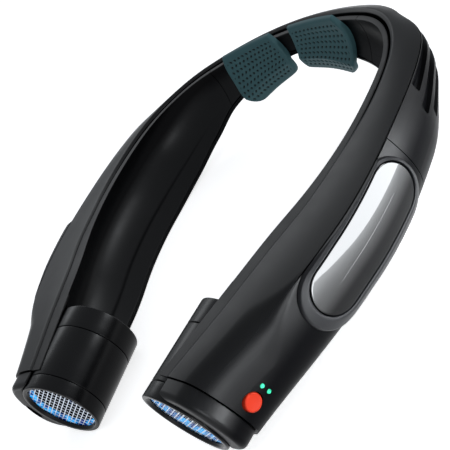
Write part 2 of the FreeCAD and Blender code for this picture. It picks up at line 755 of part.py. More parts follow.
CAP_REAR = -INTAKE_AHEAD - CASE_SHORT + SEAM_GAP


def cap_outline():
    """End section of the casing stepped in, closed through the pod's axis, in pod axes."""
    section = section_at(ARM_LENGTH)
    top = [offset_point(top_point, section, t, -CAP_STEP) for t in spread(CAP_TIP, 0.9, 4)]
    side = [offset_point(side_point, section, t, -CAP_STEP) for t in spread(0.08, 1.0, 10)]
    rows = []
    for row in (top, [top[-1], side[0]], side):
        rows.append([Vector(out + POD_INSET, height + GROOVE_ABOVE_AXIS, 0) for out, height in row])
    axis = Vector(0, 0, 0)
    rows += [[rows[-1][-1], axis], [axis, rows[0][0]]]
    return Part.Wire([edge_through(row) for row in rows])


def end_cap():
    """Crescent that closes the arm's end round the intake ring."""
    rear = CAP_REAR
    cap = Part.Face(cap_outline()).extrude(Vector(0, 0, -CAP_FRONT - rear))
    cap.translate(Vector(0, 0, rear))
    room = BARREL_RADIUS + POD_CLEARANCE
    return cap.cut(rod(room, rear - CASE_WALL, INTAKE_AHEAD))


def socket_block(width, height, rear, front):
    """Round-ended block of the charging socket, its long side upright."""
    outline = stadium(width, height, rear)
    outline.rotate(Vector(0, 0, 0), Vector(0, 0, 1), 90)
    outline.translate(Vector(SOCKET_OUT, 0, 0))
    return Part.Face(outline).extrude(Vector(0, 0, front - rear))


SOCKET_FRONT = -CAP_FRONT - SOCKET_RECESS
SOCKET_REAR = SOCKET_FRONT - SOCKET_DEPTH
TONGUE_SHARE = 0.22


def charging_cap():
    """End cap of the right arm, with the charging slot."""
    slot = socket_block(SOCKET_WIDTH + 2 * SLOT_GAP, SOCKET_HEIGHT + 2 * SLOT_GAP, CAP_REAR - CASE_WALL, 0.0)
    return end_cap().cut(slot)


def usb_socket():
    """Charging socket: a round-ended shell with a tongue inside."""
    wall = SOCKET_HEIGHT / 10
    shell = socket_block(SOCKET_WIDTH, SOCKET_HEIGHT, SOCKET_REAR, SOCKET_FRONT)
    hollow = socket_block(SOCKET_WIDTH - 2 * wall, SOCKET_HEIGHT - 2 * wall, SOCKET_REAR + wall, SOCKET_FRONT)
    tongue = socket_block(SOCKET_WIDTH * 0.75, SOCKET_HEIGHT * TONGUE_SHARE, SOCKET_REAR, SOCKET_FRONT - wall)
    return shell.cut(hollow).fuse(tongue)


def charge_board():
    """Board on the flat inner side of the charging socket."""
    out = SOCKET_OUT - SOCKET_HEIGHT / 2 - BOARD_THICKNESS
    return Part.makeBox(BOARD_THICKNESS, CHARGE_BOARD_WIDTH, CHARGE_BOARD_LENGTH,
                        Vector(out, -CHARGE_BOARD_WIDTH / 2, CAP_REAR - SEAM_GAP - CHARGE_BOARD_LENGTH))


def button_axes():
    """Surface point under the button, with directions back along the arm, round the side and outward."""
    section = section_at(BUTTON_AT)
    x, y, out_x, out_y = frame_at(BUTTON_AT)
    normal = normal_at(side_point, section, BUTTON_ROUND)
    outward = Vector(normal[0] * out_x, normal[0] * out_y, normal[1])
    back = Vector(-out_y, out_x, 0)
    return place(side_point(section, BUTTON_ROUND), BUTTON_AT), back, outward.cross(back), outward


def at_button(shape):
    """Shape from button axes to its place on the left arm."""
    origin, back, across, outward = button_axes()
    return seat(shape, origin, back, across, outward)


FLANGE_FOOT = -BUTTON_FLANGE_DEPTH - BUTTON_FLANGE_HEIGHT
STEM_FOOT = FLANGE_FOOT - STEM_LENGTH
PLUNGER_TOP = STEM_FOOT - BUTTON_TRAVEL - FIT_GAP
BOARD_TOP = PLUNGER_TOP - PLUNGER_HEIGHT - SWITCH_HEIGHT


def surface_place(length, around):
    """Point of the outer side in button axes."""
    origin, back, across, outward = button_axes()
    step = place(side_point(section_at(length), around), length) - origin
    return step.dot(back), step.dot(across), step.dot(outward)


def light_places():
    """Surface points of the indicator lights in button axes."""
    return [surface_place(LIGHT_AT, around) for around in LIGHT_ROUNDS]


def left_side_cover():
    """Side cover with the button hole, the light holes and the board's posts."""
    cuts = [rod(BUTTON_RADIUS + BUTTON_GAP, -BUTTON_FLANGE_DEPTH - CASE_WALL, CASE_WALL)]
    for x, y, rise in light_places():
        cuts.append(rod(LIGHT_RADIUS + LIGHT_GAP, rise - 2 * CASE_WALL, rise + CASE_WALL, x, y))
    post_top = surface_place(BUTTON_AT - POST_BACK, BUTTON_ROUND)[2] - CASE_WALL + POST_BITE
    posts = []
    for y in (-POST_SPREAD, POST_SPREAD):
        posts.append(at_button(rod(POST_RADIUS, BOARD_TOP, post_top, POST_BACK, y)))
    return side_cover().fuse(posts).cut([at_button(cut) for cut in cuts])


def power_button():
    """Push button with a flange behind the cover and a stem over the switch."""
    cap = rod(BUTTON_RADIUS, FLANGE_FOOT, BUTTON_RISE)
    flange = rod(BUTTON_FLANGE_RADIUS, FLANGE_FOOT, -BUTTON_FLANGE_DEPTH)
    stem = rod(STEM_RADIUS, STEM_FOOT, FLANGE_FOOT)
    return at_button(cap.fuse([flange, stem]))


def tact_switch():
    """Small switch on the board under the button."""
    corner = Vector(-SWITCH_SIZE / 2, -SWITCH_SIZE / 2, BOARD_TOP)
    body = Part.makeBox(SWITCH_SIZE, SWITCH_SIZE, SWITCH_HEIGHT, corner)
    return at_button(body.fuse(rod(PLUNGER_RADIUS, BOARD_TOP + SWITCH_HEIGHT, PLUNGER_TOP)))


def control_board():
    """Board under the button, screwed to the posts."""
    return at_button(Part.makeBox(BOARD_LENGTH, BOARD_WIDTH, BOARD_THICKNESS,
                                  Vector(-BOARD_AHEAD, -BOARD_WIDTH / 2, BOARD_TOP - BOARD_THICKNESS)))


def indicator_lights():
    """Two light pipes from the board to the surface."""
    return [at_button(rod(LIGHT_RADIUS, BOARD_TOP, rise + FIT_GAP, x, y)) for x, y, rise in light_places()]


def battery_cell():
    """Round cell along the arm, against the outer side."""
    ends = []
    for length in (CELL_REAR, CELL_FRONT):
        inset = CASE_WALL + CELL_GAP + CELL_RADIUS
        ends.append(place(offset_point(side_point, section_at(length), CELL_ROUND, -inset), length))
    axis = ends[1] - ends[0]
    cell = Part.makeCylinder(CELL_RADIUS, axis.Length, ends[0], axis)
    nub = Part.makeCylinder(CELL_RADIUS / 3, CELL_GAP * 2, ends[1], axis)
    return cell.fuse(nub)


def wire_harness():
    """Wires from arm to arm round the nape, as one tube under the top shell."""
    level = (WIRE_OUT, -WIRE_DROP)
    joints = [0.0]
    for arc_length in ARC_LENGTHS:
        joints.append(joints[-1] + arc_length)
    joints.append(WIRE_END)
    edges = []
    for sign in (-1.0, 1.0):
        for start, finish in zip(joints, joints[1:]):
            points = [place(level, sign * length) for length in spread(start, finish, 3)]
            straight = finish == WIRE_END
            edges.append(edge_through([points[0], points[2]]) if straight else Part.Arc(*points).toShape())
    path = Part.Wire(Part.__sortEdges__(edges))
    x, y, heading = collar_line(WIRE_END)
    start = place(level, -WIRE_END)
    ring = Part.Wire(Part.makeCircle(WIRE_RADIUS, start, Vector(-math.cos(heading), -math.sin(heading), 0)))
    return path.makePipeShell([ring], True, False)


PARTS = {
    "top_shell": top_shell(),
    "bottom_shell": bottom_shell(),
    "rear_cover": rear_cover(),
    "left_side_cover": left_side_cover(),
    "right_side_cover": mirrored(side_cover()),
    "nape_liner": liner(-LINER_REAR + SEAM_GAP / 2, LINER_REAR - SEAM_GAP / 2),
    "power_button": power_button(),
    "tact_switch": tact_switch(),
    "control_board": control_board(),
    "indicator_lights": Part.makeCompound(indicator_lights()),
    "left_end_cap": in_pod(end_cap()),
    "right_end_cap": mirrored(in_pod(charging_cap())),
    "usb_socket": mirrored(in_pod(usb_socket())),
    "charge_board": mirrored(in_pod(charge_board())),
    "wire_harness": wire_harness(),
    "motor_screws": Part.makeCompound(motor_screws() + [mirrored(screw) for screw in motor_screws()]),
}
PAIRS = {
    "inner_liner": liner(LINER_REAR + SEAM_GAP / 2, LINER_FRONT),
    "neck_pad": neck_pad(),
    "bezel": bezel(),
    "accent_panel": accent_panel(),
    "pod_barrel": pod_barrel(),
    "outlet_ring": outlet_ring(),
    "intake_ring": intake_ring(),
    "intake_mesh": intake_mesh(),
    "light_ring": light_ring(),
    "fan_wheel": fan_wheel(),
    "motor_shaft": motor_shaft(),
    "shaft_bush": shaft_bush(),
    "motor_can": motor_can(),
    "motor_mount": motor_mount(),
    "battery_cell": battery_cell(),
}
for name, shape in PAIRS.items():
    PARTS["left_" + name] = shape
    PARTS["right_" + name] = mirrored(shape)

for name, shape in PARTS.items():
    shape.exportStep("parts/" + name + ".step")
    box = shape.BoundBox
    print(name, "solids", len(shape.Solids), "valid", shape.isValid(), "volume %.1f" % shape.Volume,
          "z %.2f to %.2f" % (box.ZMin, box.ZMax), "y %.2f to %.2f" % (box.YMin, box.YMax))
print("nape y %.4f" % NAPE_Y)
print("left pod origin", POD_ORIGIN, "forward", POD_FORWARD)
print("button origin and axes", *button_axes())
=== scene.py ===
"""Looks of an electric neck fan: a dark collar with a fan pod at the front end of each arm.

Shapes are worked out in millimetres in the part's own frame and put into meshes in metres.
"""
import logging
import math
from dataclasses import dataclass
from enum import Enum
from typing import Sequence

import bmesh
import bpy
import numpy as np
from mathutils import Matrix, Vector


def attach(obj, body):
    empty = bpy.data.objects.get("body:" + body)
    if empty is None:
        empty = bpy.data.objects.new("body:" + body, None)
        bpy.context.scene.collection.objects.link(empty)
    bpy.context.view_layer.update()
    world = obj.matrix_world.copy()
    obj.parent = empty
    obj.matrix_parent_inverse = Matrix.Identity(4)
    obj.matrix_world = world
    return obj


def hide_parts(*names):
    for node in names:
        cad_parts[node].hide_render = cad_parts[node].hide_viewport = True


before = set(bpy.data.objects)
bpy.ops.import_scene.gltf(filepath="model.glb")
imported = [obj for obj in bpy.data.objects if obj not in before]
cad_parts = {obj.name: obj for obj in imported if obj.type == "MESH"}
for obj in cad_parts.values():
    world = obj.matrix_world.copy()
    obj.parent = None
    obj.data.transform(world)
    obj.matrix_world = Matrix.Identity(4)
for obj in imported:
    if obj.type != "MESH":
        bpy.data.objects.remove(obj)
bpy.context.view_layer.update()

MM = 0.001
LOG = logging.getLogger("neck_fan")
COLOUR = "NodeSocketColor"
NUMBER = "NodeSocketFloat"
DIMPLE_SHADE_MAP = "dimple"
QUARTER_TURN = np.linspace(0.0, math.pi / 2.0, 7)
Array = np.ndarray
Pair = tuple[float, float]
Triple = tuple[float, float, float]
Piece = bpy.types.Object
Material = bpy.types.Material
Tree = bpy.types.NodeTree
Node = bpy.types.Node
Socket = bpy.types.NodeSocket


class Side(Enum):
    """Arm of the collar, by the wearer's hand, with its sign along X."""

    LEFT = 1.0
    RIGHT = -1.0

    @property
    def label(self) -> str:
        """Name of the side as the nodes spell it."""
        return self.name.lower()


class Ride(Enum):
    """Bodies of the part that pieces move with."""

    COLLAR = "collar"
    BUTTON = "button"


def smooth_step(value: Array) -> Array:
    """Rise from 0 to 1 with level ends.

    Args:
        value: Progress, held between 0 and 1.

    Returns:
        3v squared less 2v cubed.
    """
    held = np.clip(value, 0.0, 1.0)
    return held * held * (3.0 - 2.0 * held)


def grown(lengths: Array, span: Pair) -> Array:
    """Growth from 0 to 1 along an arm, past a start and over a run."""
    return smooth_step((np.abs(lengths) - span[0]) / span[1])


def circle(count: int) -> Array:
    """Angles of evenly spaced points round a full circle."""
    return np.linspace(0.0, 2.0 * math.pi, count, endpoint=False)


def stations(start: float, finish: float, step: float = 2.0) -> Array:
    """Evenly spaced lengths about a step apart."""
    return np.linspace(start, finish, int(abs(finish - start) / step) + 1)


def parabola(before: Array, corner: Array, after: Array, u: Array) -> Array:
    """Points at shares u of a parabola between two points that leans on a corner."""
    return (1 - u) ** 2 * before + 2 * u * (1 - u) * corner + u ** 2 * after


def walk_rows(rows: Array, start: float | Array, finish: float | Array, count: int) -> Array:
    """Rows of points spaced evenly along their own length.

    Each row is measured along its steps, and the wanted distances run from a trim at its start to a trim
    at its end; each new point is the straight blend of the two old points around its distance.

    Args:
        rows: Points, shaped rows by points by 2.
        start: Length left out at the start of each row.
        finish: Length left out at the end of each row.
        count: Points wanted in a row.

    Returns:
        Points, shaped rows by count by 2.
    """
    steps = np.linalg.norm(np.diff(rows, axis=1), axis=2)
    along = np.concatenate([np.zeros((len(rows), 1)), np.cumsum(steps, axis=1)], axis=1)
    whole = along[:, -1:]
    low = np.minimum(start, 0.45 * whole)
    high = whole - np.minimum(finish, 0.45 * whole)
    wanted = low + (high - low) * np.linspace(0.0, 1.0, count)[None, :]
    index = np.clip((along[:, None, :] <= wanted[:, :, None]).sum(axis=2) - 1, 0, rows.shape[1] - 2)
    row = np.arange(len(rows))[:, None]
    span = np.maximum(along[row, index + 1] - along[row, index], 1e-9)
    share = ((wanted - along[row, index]) / span)[:, :, None]
    return rows[row, index] * (1.0 - share) + rows[row, index + 1] * share


def rounded_loop(runs: Sequence[Array], rounds: Sequence[float | Array], counts: Sequence[int],
                 arc: int) -> Array:
    """Closed section outlines with rounded corners.

    Each run is trimmed at both corners, and each corner is a parabola between the trimmed ends that
    leans on the corner point.

    Args:
        runs: Runs of points round the section, each shaped sections by points by 2, end meeting start.
        rounds: Trim at the start corner of each run.
        counts: Points kept on each run.
        arc: Points on each corner.

    Returns:
        Outlines, shaped sections by points by 2.
    """
    parts = []
    u = np.linspace(0.0, 1.0, arc + 2)[1:-1][None, :, None]
    total = len(runs)
    kept = [walk_rows(run, rounds[i], rounds[(i + 1) % total], counts[i]) for i, run in enumerate(runs)]
    for i, run in enumerate(kept):
        corner = runs[i][:, -1:, :]
        after = kept[(i + 1) % total][:, :1, :]
        before = run[:, -1:, :]
        parts += [run, parabola(before, corner, after, u)]
    return np.concatenate(parts, axis=1)


def polygon_runs(corners: Sequence[Sequence[float]]) -> list[Array]:
    """Straight runs from each corner of a closed outline to the next, each shaped 1 by 2 by 2."""
    points = np.array(corners)
    return list(np.stack([points, np.roll(points, -1, axis=0)], axis=1)[:, None])


def grid_quads(rows: int, columns: int, close_rows: bool, close_columns: bool, first: int = 0) -> Array:
    """Quads of a grid of points numbered row by row.

    Args:
        rows: Rows of points.
        columns: Points in a row.
        close_rows: Joins the last row to the first.
        close_columns: Joins each row's end to its start.
        first: Number of the grid's first point.

    Returns:
        Corner numbers, shaped quads by 4.
    """
    r = np.arange(rows if close_rows else rows - 1)[:, None]
    c = np.arange(columns if close_columns else columns - 1)[None, :]
    r_next = (r + 1) % rows
    c_next = (c + 1) % columns
    corners = np.stack(np.broadcast_arrays(r * columns + c, r * columns + c_next,
                                           r_next * columns + c_next, r_next * columns + c), axis=-1)
    return corners.reshape(-1, 4) + first


def make_piece(name: str, points: Array, faces: list, sharp: float = 40.0) -> Piece:
    """Closed mesh object with outward faces and smooth shading that breaks at sharp edges.

    Args:
        name: Piece name.
        points: Points in millimetres, shaped points by 3.
        faces: Lists of corner numbers.
        sharp: Edges that turn by more than this many degrees stay crisp.

    Returns:
        The object, at the origin.
    """
    mesh = bpy.data.meshes.new(name)
    mesh.from_pydata((points * MM).tolist(), [], faces)
    work = bmesh.new()
    work.from_mesh(mesh)
    bmesh.ops.remove_doubles(work, verts=work.verts, dist=1e-7)
    bmesh.ops.recalc_face_normals(work, faces=work.faces)
    work.to_mesh(mesh)
    work.free()
    mesh.shade_smooth()
    mesh.set_sharp_from_angle(angle=math.radians(sharp))
    piece = bpy.data.objects.new(name, mesh)
    bpy.context.scene.collection.objects.link(piece)
    return piece


def sweep_piece(name: str, loops: Array, sharp: float = 40.0) -> Piece:
    """Closed piece through a row of closed outlines, with a flat face at each end.

    Args:
        name: Piece name.
        loops: Outlines in millimetres, shaped sections by points by 3.
        sharp: Crisp-edge angle in degrees.

    Returns:
        The object.
    """
    rows, columns = loops.shape[:2]
    faces = grid_quads(rows, columns, False, True).tolist()
    faces.append(list(range(columns)))
    faces.append(list(range((rows - 1) * columns, rows * columns)))
    return make_piece(name, loops.reshape(-1, 3), faces, sharp)


def ring_piece(name: str, loops: Array) -> Piece:
    """Closed ring through a round of closed outlines that meets its own start.

    Args:
        name: Piece name.
        loops: Outlines in millimetres, shaped sections by points by 3.

    Returns:
        The object.
    """
    rows, columns = loops.shape[:2]
    return make_piece(name, loops.reshape(-1, 3), grid_quads(rows, columns, True, True).tolist())


def slab_piece(name: str, front: Array, back: Array, sharp: float) -> Piece:
    """Closed slab between two grids of the same size, with a wall round their edges.

    Args:
        name: Piece name.
        front: Points in millimetres, shaped rows by columns by 3.
        back: Points behind them.
        sharp: Crisp-edge angle in degrees.

    Returns:
        The object.
    """
    rows, columns = front.shape[:2]
    half = rows * columns
    number = np.arange(half).reshape(rows, columns)
    rim = np.concatenate([number[0, :-1], number[:-1, -1], number[-1, :0:-1], number[:0:-1, 0]])
    after = np.roll(rim, -1)
    wall = np.stack([rim, after, after + half, rim + half], axis=1)
    quads = np.concatenate([grid_quads(rows, columns, False, False),
                            grid_quads(rows, columns, False, False, half), wall])
    points = np.concatenate([front.reshape(-1, 3), back.reshape(-1, 3)])
    return make_piece(name, points, quads.tolist(), sharp)


def cut_piece(piece: Piece, cutters: Sequence[Piece], sharp: float) -> None:
    """Cuts shapes out of a piece and removes the cutters.

    Args:
        piece: Piece that is cut.
        cutters: Closed shapes, used up here.
        sharp: Crisp-edge angle in degrees.
    """
    for cutter in cutters:
        step = piece.modifiers.new("cut", "BOOLEAN")
        step.operation = "DIFFERENCE"
        step.solver = "EXACT"
        step.object = cutter
    bpy.context.view_layer.update()
    view = bpy.context.evaluated_depsgraph_get()
    mesh = bpy.data.meshes.new_from_object(piece.evaluated_get(view))
    piece.modifiers.clear()
    piece.data = mesh
    mesh.name = piece.name
    mesh.set_sharp_from_angle(angle=math.radians(sharp))
    for cutter in cutters:
        bpy.data.meshes.remove(cutter.data)


def settle(piece: Piece, material: Material, slot: str, *nodes: str, body: Ride = Ride.COLLAR) -> None:
    """Gives a finished piece its finish, its body and the nodes that it stands for.

    Args:
        piece: Finished piece.
        material: Its finish.
        slot: Name of a material slot; not used.
        nodes: Nodes that it replaces.
        body: Body that it moves with.
    """
    piece.data.materials.clear()
    piece.data.materials.append(material)
    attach(piece, body.value)
    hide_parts(*nodes)
    LOG.info("%s rides on %s and stands for %s", piece.name, body.value, ", ".join(nodes))


@dataclass(frozen=True)
class CollarLine:
    """Plan line of the groove, as tangent arcs from the nape to the end of an arm."""

    radii: tuple[float, ...] = (135.0, 49.0, 110.0, 158.0)
    turns: tuple[float, ...] = (22.0, 59.0, 35.5, -6.0)
    straight: float = 53.0
    nape_y: float = 89.7376
    groove_height: float = 34.0
    toe: float = 7.6
    turn_reach: float = 45.0

    @property
    def length(self) -> float:
        """Length of an arm from the nape."""
        return sum(r * math.radians(abs(t)) for r, t in zip(self.radii, self.turns)) + self.straight

    def at(self, lengths: Array) -> tuple[Array, Array, Array]:
        """Plan point and heading: each arc adds its chord for the length run on it, then comes the straight.

        Args:
            lengths: Distances from the nape, of any sign.

        Returns:
            X, Y with the nape at 0, and heading in radians, for the left arm.
        """
        left = np.abs(lengths).astype(float)
        x, y, heading = np.zeros_like(left), np.zeros_like(left), np.zeros_like(left)
        for radius, turn in zip(self.radii, self.turns):
            run = np.minimum(left, radius * math.radians(abs(turn)))
            bend = math.copysign(radius, turn)
            after = heading + run / bend
            x = x + bend * (np.sin(after) - np.sin(heading))
            y = y + bend * (np.cos(after) - np.cos(heading))
            heading = after
            left = left - run
        return x + left * np.cos(heading), y - left * np.sin(heading), heading

    def place(self, lengths: Array, out: Array, rise: Array) -> Array:
        """Points of the collar from section points; lengths below 0 lie on the right arm.

        Args:
            lengths: Distances from the nape.
            out: Distances outward from the groove line.
            rise: Heights above the groove.

        Returns:
            Points in millimetres, with X, Y and Z last.
        """
        lengths, out, rise = np.broadcast_arrays(lengths, out, rise)
        x, y, heading = self.at(lengths)
        end_turn = math.radians(90.0 + self.toe - sum(self.turns))
        start = self.length - self.turn_reach
        turned = heading + end_turn * grown(lengths, (start, self.turn_reach))
        side = np.where(lengths >= 0.0, 1.0, -1.0)
        return np.stack([side * (x + out * np.sin(turned)), self.nape_y + y + out * np.cos(turned),
                         self.groove_height + rise], axis=-1)


@dataclass(frozen=True)
class CollarSection:
    """Cross-section of the collar: sizes at seven places on an arm, joined without overshoot."""

    places: tuple[float, ...] = (0.0, 45.0, 70.0, 98.0, 126.0, 182.0, 240.0)
    top: tuple[float, ...] = (6.3, 6.3, 6.5, 13.9, 16.5, 26.2, 19.0)
    ridge: tuple[float, ...] = (2.2, 2.0, 2.0, 1.5, 1.0, 0.8, 0.8)
    edge: tuple[float, ...] = (-1.0, -1.0, -1.0, -0.4, 0.0, -0.6, -0.8)
    lip_out: tuple[float, ...] = (-5.0, -9.0, -12.5, -13.0, -12.3, -7.5, 6.0)
    lip_height: tuple[float, ...] = (-10.5, -18.5, -26.5, -32.5, -34.15, -34.15, -33.0)
    fullness: tuple[float, ...] = (2.5, 2.2, 2.0, 1.8, 2.0, 2.8, 2.4)
    bulge: tuple[float, ...] = (0.3, 0.3, 0.3, 1.1, 5.3, 3.8, 6.5)
    rim: tuple[float, ...] = (3.0, 3.0, 3.0, 3.2, 3.5, 3.5, 3.5)
    depth: tuple[float, ...] = (0.0, 1.0, 3.0, 9.0, 14.0, 16.0, 16.0)
    sink: tuple[float, ...] = (0.0, 0.0, 0.0, 1.0, 2.4, 2.6, 2.6)
    groove: float = 1.2
    groove_closing: float = 0.47
    closing_span: Pair = (112.0, 40.0)
    groove_shift: float = 2.2
    shift_span: Pair = (142.0, 34.0)
    groove_return: float = 1.4
    return_span: Pair = (205.0, 35.0)
    hollow: float = 0.62
    crown: float = 0.4
    wall: float = 1.8
    foot_gap: float = 0.4
    normal_step: float = 0.004

    def size(self, name: str, lengths: Array) -> Array:
        """One size along the arm: a cubic between places, with harmonic mean slopes, level at the nape.

        Args:
            name: Field that holds the size.
            lengths: Distances from the nape, of any sign.

        Returns:
            The size at each distance.
        """
        x = np.array(self.places)
        y = np.array(getattr(self, name))
        rises = np.diff(y) / np.diff(x)
        product = rises[:-1] * rises[1:]
        total = np.where(product > 0.0, rises[:-1] + rises[1:], 1.0)
        slopes = np.concatenate([[0.0], np.where(product > 0.0, 2.0 * product / total, 0.0), rises[-1:]])
        at = np.abs(lengths)
        i = np.clip(np.searchsorted(x, at, side="right") - 1, 0, len(x) - 2)
        span = x[i + 1] - x[i]
        t = (at - x[i]) / span
        a, b = span * slopes[i], span * slopes[i + 1]
        rise = y[i + 1] - y[i]
        return y[i] + a * t + (3.0 * rise - 2.0 * a - b) * t ** 2 + (a + b - 2.0 * rise) * t ** 3

    def side(self, lengths: Array, t: Array, lift: float | Array = 0.0) -> Array:
        """Outer side from the top edge, t = 0, to the lip, t = 1: a quarter superellipse with a bulge.

        Args:
            lengths: Distances from the nape.
            t: Places round the side.
            lift: Distance along the outward normal.

        Returns:
            Section points, outward and up last.
        """
        def bare(place: Array) -> Array:
            """Points of the side before any lift."""
            angle = np.clip(place, 0.0, 1.0) * math.pi / 2.0
            power = 2.0 / self.size("fullness", lengths)
            lip = self.size("lip_out", lengths)
            edge = self.size("edge", lengths)
            out = lip + (self.size("top", lengths) - lip) * np.maximum(np.cos(angle), 0.0) ** power
            out = out + self.size("bulge", lengths) * np.sin(2.0 * angle)
            rise = edge - (edge - self.size("lip_height", lengths)) * np.sin(angle) ** power
            return np.stack(np.broadcast_arrays(out, rise), axis=-1)
        step = self.normal_step
        run = bare(np.minimum(t + step, 1.0)) - bare(np.maximum(t - step, 0.0))
        run = run / np.linalg.norm(run, axis=-1, keepdims=True)
        normal = np.stack([-run[..., 1], run[..., 0]], axis=-1)
        return bare(t) + normal * np.asarray(lift)[..., None]

    def below_edge(self, lengths: Array, drop: float | Array) -> Array:
        """Place round the side that lies a drop below the top edge, from the superellipse turned round.

        Args:
            lengths: Distances from the nape.
            drop: Height below the edge.

        Returns:
            Places round the side.
        """
        height = self.size("edge", lengths) - self.size("lip_height", lengths)
        share = np.clip(drop / height, 0.0, 1.0)
        return np.arcsin(share ** (self.size("fullness", lengths) / 2.0)) * 2.0 / math.pi

    def trough(self, lengths: Array, t: Array) -> Array:
        """Neck side from the rim, t = 0, to above the lip, t = 1: a parabola hollowed by a skewed sine.

        Args:
            lengths: Distances from the nape.
            t: Places down the trough.

        Returns:
            Section points, outward and up last.
        """
        foot = self.size("lip_height", lengths) + self.wall + self.foot_gap
        sunk = self.size("sink", lengths)
        start = -self.size("rim", lengths)
        out = start + (self.size("lip_out", lengths) + self.foot_gap - start) * t ** 2
        out = out + self.size("depth", lengths) * np.sin(math.pi * t ** 0.8) * self.hollow
        return np.stack(np.broadcast_arrays(out, (foot + sunk) * t - sunk), axis=-1)

    def closed(self, lengths: Array) -> Array:
        """Share, from 0 to 1, by which the groove has closed along an arm."""
        return grown(lengths, self.closing_span)

    def groove_edges(self, lengths: Array) -> tuple[Array, Array]:
        """Neck-side and outer edge of the visible groove, which moves out and narrows to a crease on an arm.

        Args:
            lengths: Distances from the nape.

        Returns:
            Distances outward of the two edges.
        """
        shift = self.groove_shift * grown(lengths, self.shift_span)
        middle = shift - self.groove_return * grown(lengths, self.return_span)
        half = 0.5 * self.groove - self.groove_closing * self.closed(lengths)
        return middle - half, middle + half


LINE = CollarLine()
SECTION = CollarSection()


def collar_points(lengths: Array, outlines: Array) -> Array:
    """Section outlines set along the collar.

    Args:
        lengths: Distances from the nape, one for each outline.
        outlines: Section points, shaped lengths by points by 2.

    Returns:
        Points in millimetres, shaped lengths by points by 3.
    """
    return LINE.place(lengths[:, None], outlines[..., 0], outlines[..., 1])


def line_run(*corners: Array) -> Array:
    """Straight run through section points.

    Args:
        corners: Points, each shaped sections by 2.

    Returns:
        Run, shaped sections by corners by 2.
    """
    return np.stack(corners, axis=1)


class Nodes:
    """Small builder for shader node trees."""

    def __init__(self, tree: Tree) -> None:
        """Keeps the tree and empties it."""
        self.tree = tree
        tree.nodes.clear()

    def add(self, kind: str, **values: object) -> Node:
        """Adds a node and sets its properties.

        Args:
            kind: Node type.
            values: Property values.

        Returns:
            The node.
        """
        node = self.tree.nodes.new(kind)
        for key, value in values.items():
            setattr(node, key, value)
        return node

    def link(self, source: object, target: Socket) -> None:
        """Joins an output to an input, or sets the input to a plain value."""
        if isinstance(source, Socket):
            self.tree.links.new(source, target)
        else:
            target.default_value = source

    def feed(self, node: Node, values: dict[str, object]) -> None:
        """Feeds a node's named inputs from outputs or plain values."""
        for name, value in values.items():
            self.link(value, node.inputs[name])

    def group(self, tree: Tree, values: dict[str, object]) -> Sequence[Socket]:
        """Places a node group, feeds its named inputs and gives its outputs."""
        node = self.add("ShaderNodeGroup", node_tree=tree)
        self.feed(node, values)
        return node.outputs

    def place(self) -> Socket:
        """Adds the object's own coordinates."""
        return self.add("ShaderNodeTexCoord").outputs["Object"]

    def maths(self, operation: str, *inputs: object, clamp: bool = False) -> Socket:
        """Adds a Math node fed by sockets or numbers.

        Args:
            operation: What it works out.
            inputs: Sockets or numbers.
            clamp: Holds the result between 0 and 1.

        Returns:
            Its output.
        """
        node = self.add("ShaderNodeMath", operation=operation, use_clamp=clamp)
        for socket, value in zip(node.inputs, inputs):
            self.link(value, socket)
        return node.outputs[0]

    def noise(self, vector: Socket, scale: object, detail: float) -> Socket:
        """Adds a noise texture and gives its value.

        Args:
            vector: Coordinates.
            scale: Socket or number.
            detail: Octaves.

        Returns:
            The noise value.
        """
        node = self.add("ShaderNodeTexNoise")
        self.feed(node, {"Vector": vector, "Scale": scale, "Detail": detail})
        return node.outputs["Fac"]

    def blend(self, share: object, low: object, high: object) -> Socket:
        """Adds a colour mix.

        Args:
            share: Socket or number from 0 to 1.
            low: Colour or socket at 0.
            high: Colour or socket at 1.

        Returns:
            The mixed colour.
        """
        node = self.add("ShaderNodeMix", data_type="RGBA")
        for index, value in ((0, share), (6, low), (7, high)):
            self.link(value, node.inputs[index])
        return node.outputs[2]


def new_group(name: str, inputs: Sequence[tuple[str, str, object]], outputs: Sequence[tuple[str, str]]
              ) -> tuple[Tree, Nodes, Node, Node]:
    """Empty shader node group with named sockets.

    Args:
        name: Group name.
        inputs: Name, socket type and first value of each input.
        outputs: Name and socket type of each output.

    Returns:
        The group, its builder, and its input and output nodes.
    """
    group = bpy.data.node_groups.new(name, "ShaderNodeTree")
    for label, kind, value in inputs:
        socket = group.interface.new_socket(name=label, in_out="INPUT", socket_type=kind)
        socket.default_value = value
    for label, kind in outputs:
        group.interface.new_socket(name=label, in_out="OUTPUT", socket_type=kind)
    build = Nodes(group)
    return group, build, build.add("NodeGroupInput"), build.add("NodeGroupOutput")


def moulded_grain() -> Tree:
    """Group for moulded plastic: broad tone drift, rubbed patches and a fine spark-eroded grain.

    Returns:
        The group, with a colour, a roughness and a height out.
    """
    group, build, given, out = new_group(
        "moulded_grain",
        (("Colour", COLOUR, (0.02, 0.02, 0.02, 1.0)), ("Worn Colour", COLOUR, (0.03, 0.03, 0.03, 1.0)),
         ("Roughness", NUMBER, 0.4), ("Spread", NUMBER, 0.1), ("Grain Scale", NUMBER, 2500.0)),
        (("Colour", COLOUR), ("Roughness", NUMBER), ("Height", NUMBER)))
    place = build.place()
    drift = build.noise(place, 28.0, 4.0)
    patch = build.noise(place, 140.0, 5.0)
    share = build.maths("MULTIPLY", build.maths("MULTIPLY", drift, patch), 1.6, clamp=True)
    swing = build.maths("SUBTRACT", build.maths("ADD", drift, patch), 1.0)
    swing = build.maths("MULTIPLY", swing, given.outputs["Spread"])
    build.feed(out, {"Colour": build.blend(share, given.outputs["Colour"], given.outputs["Worn Colour"]),
                     "Roughness": build.maths("ADD", given.outputs["Roughness"], swing, clamp=True),
                     "Height": build.noise(place, given.outputs["Grain Scale"], 2.0)})
    return group


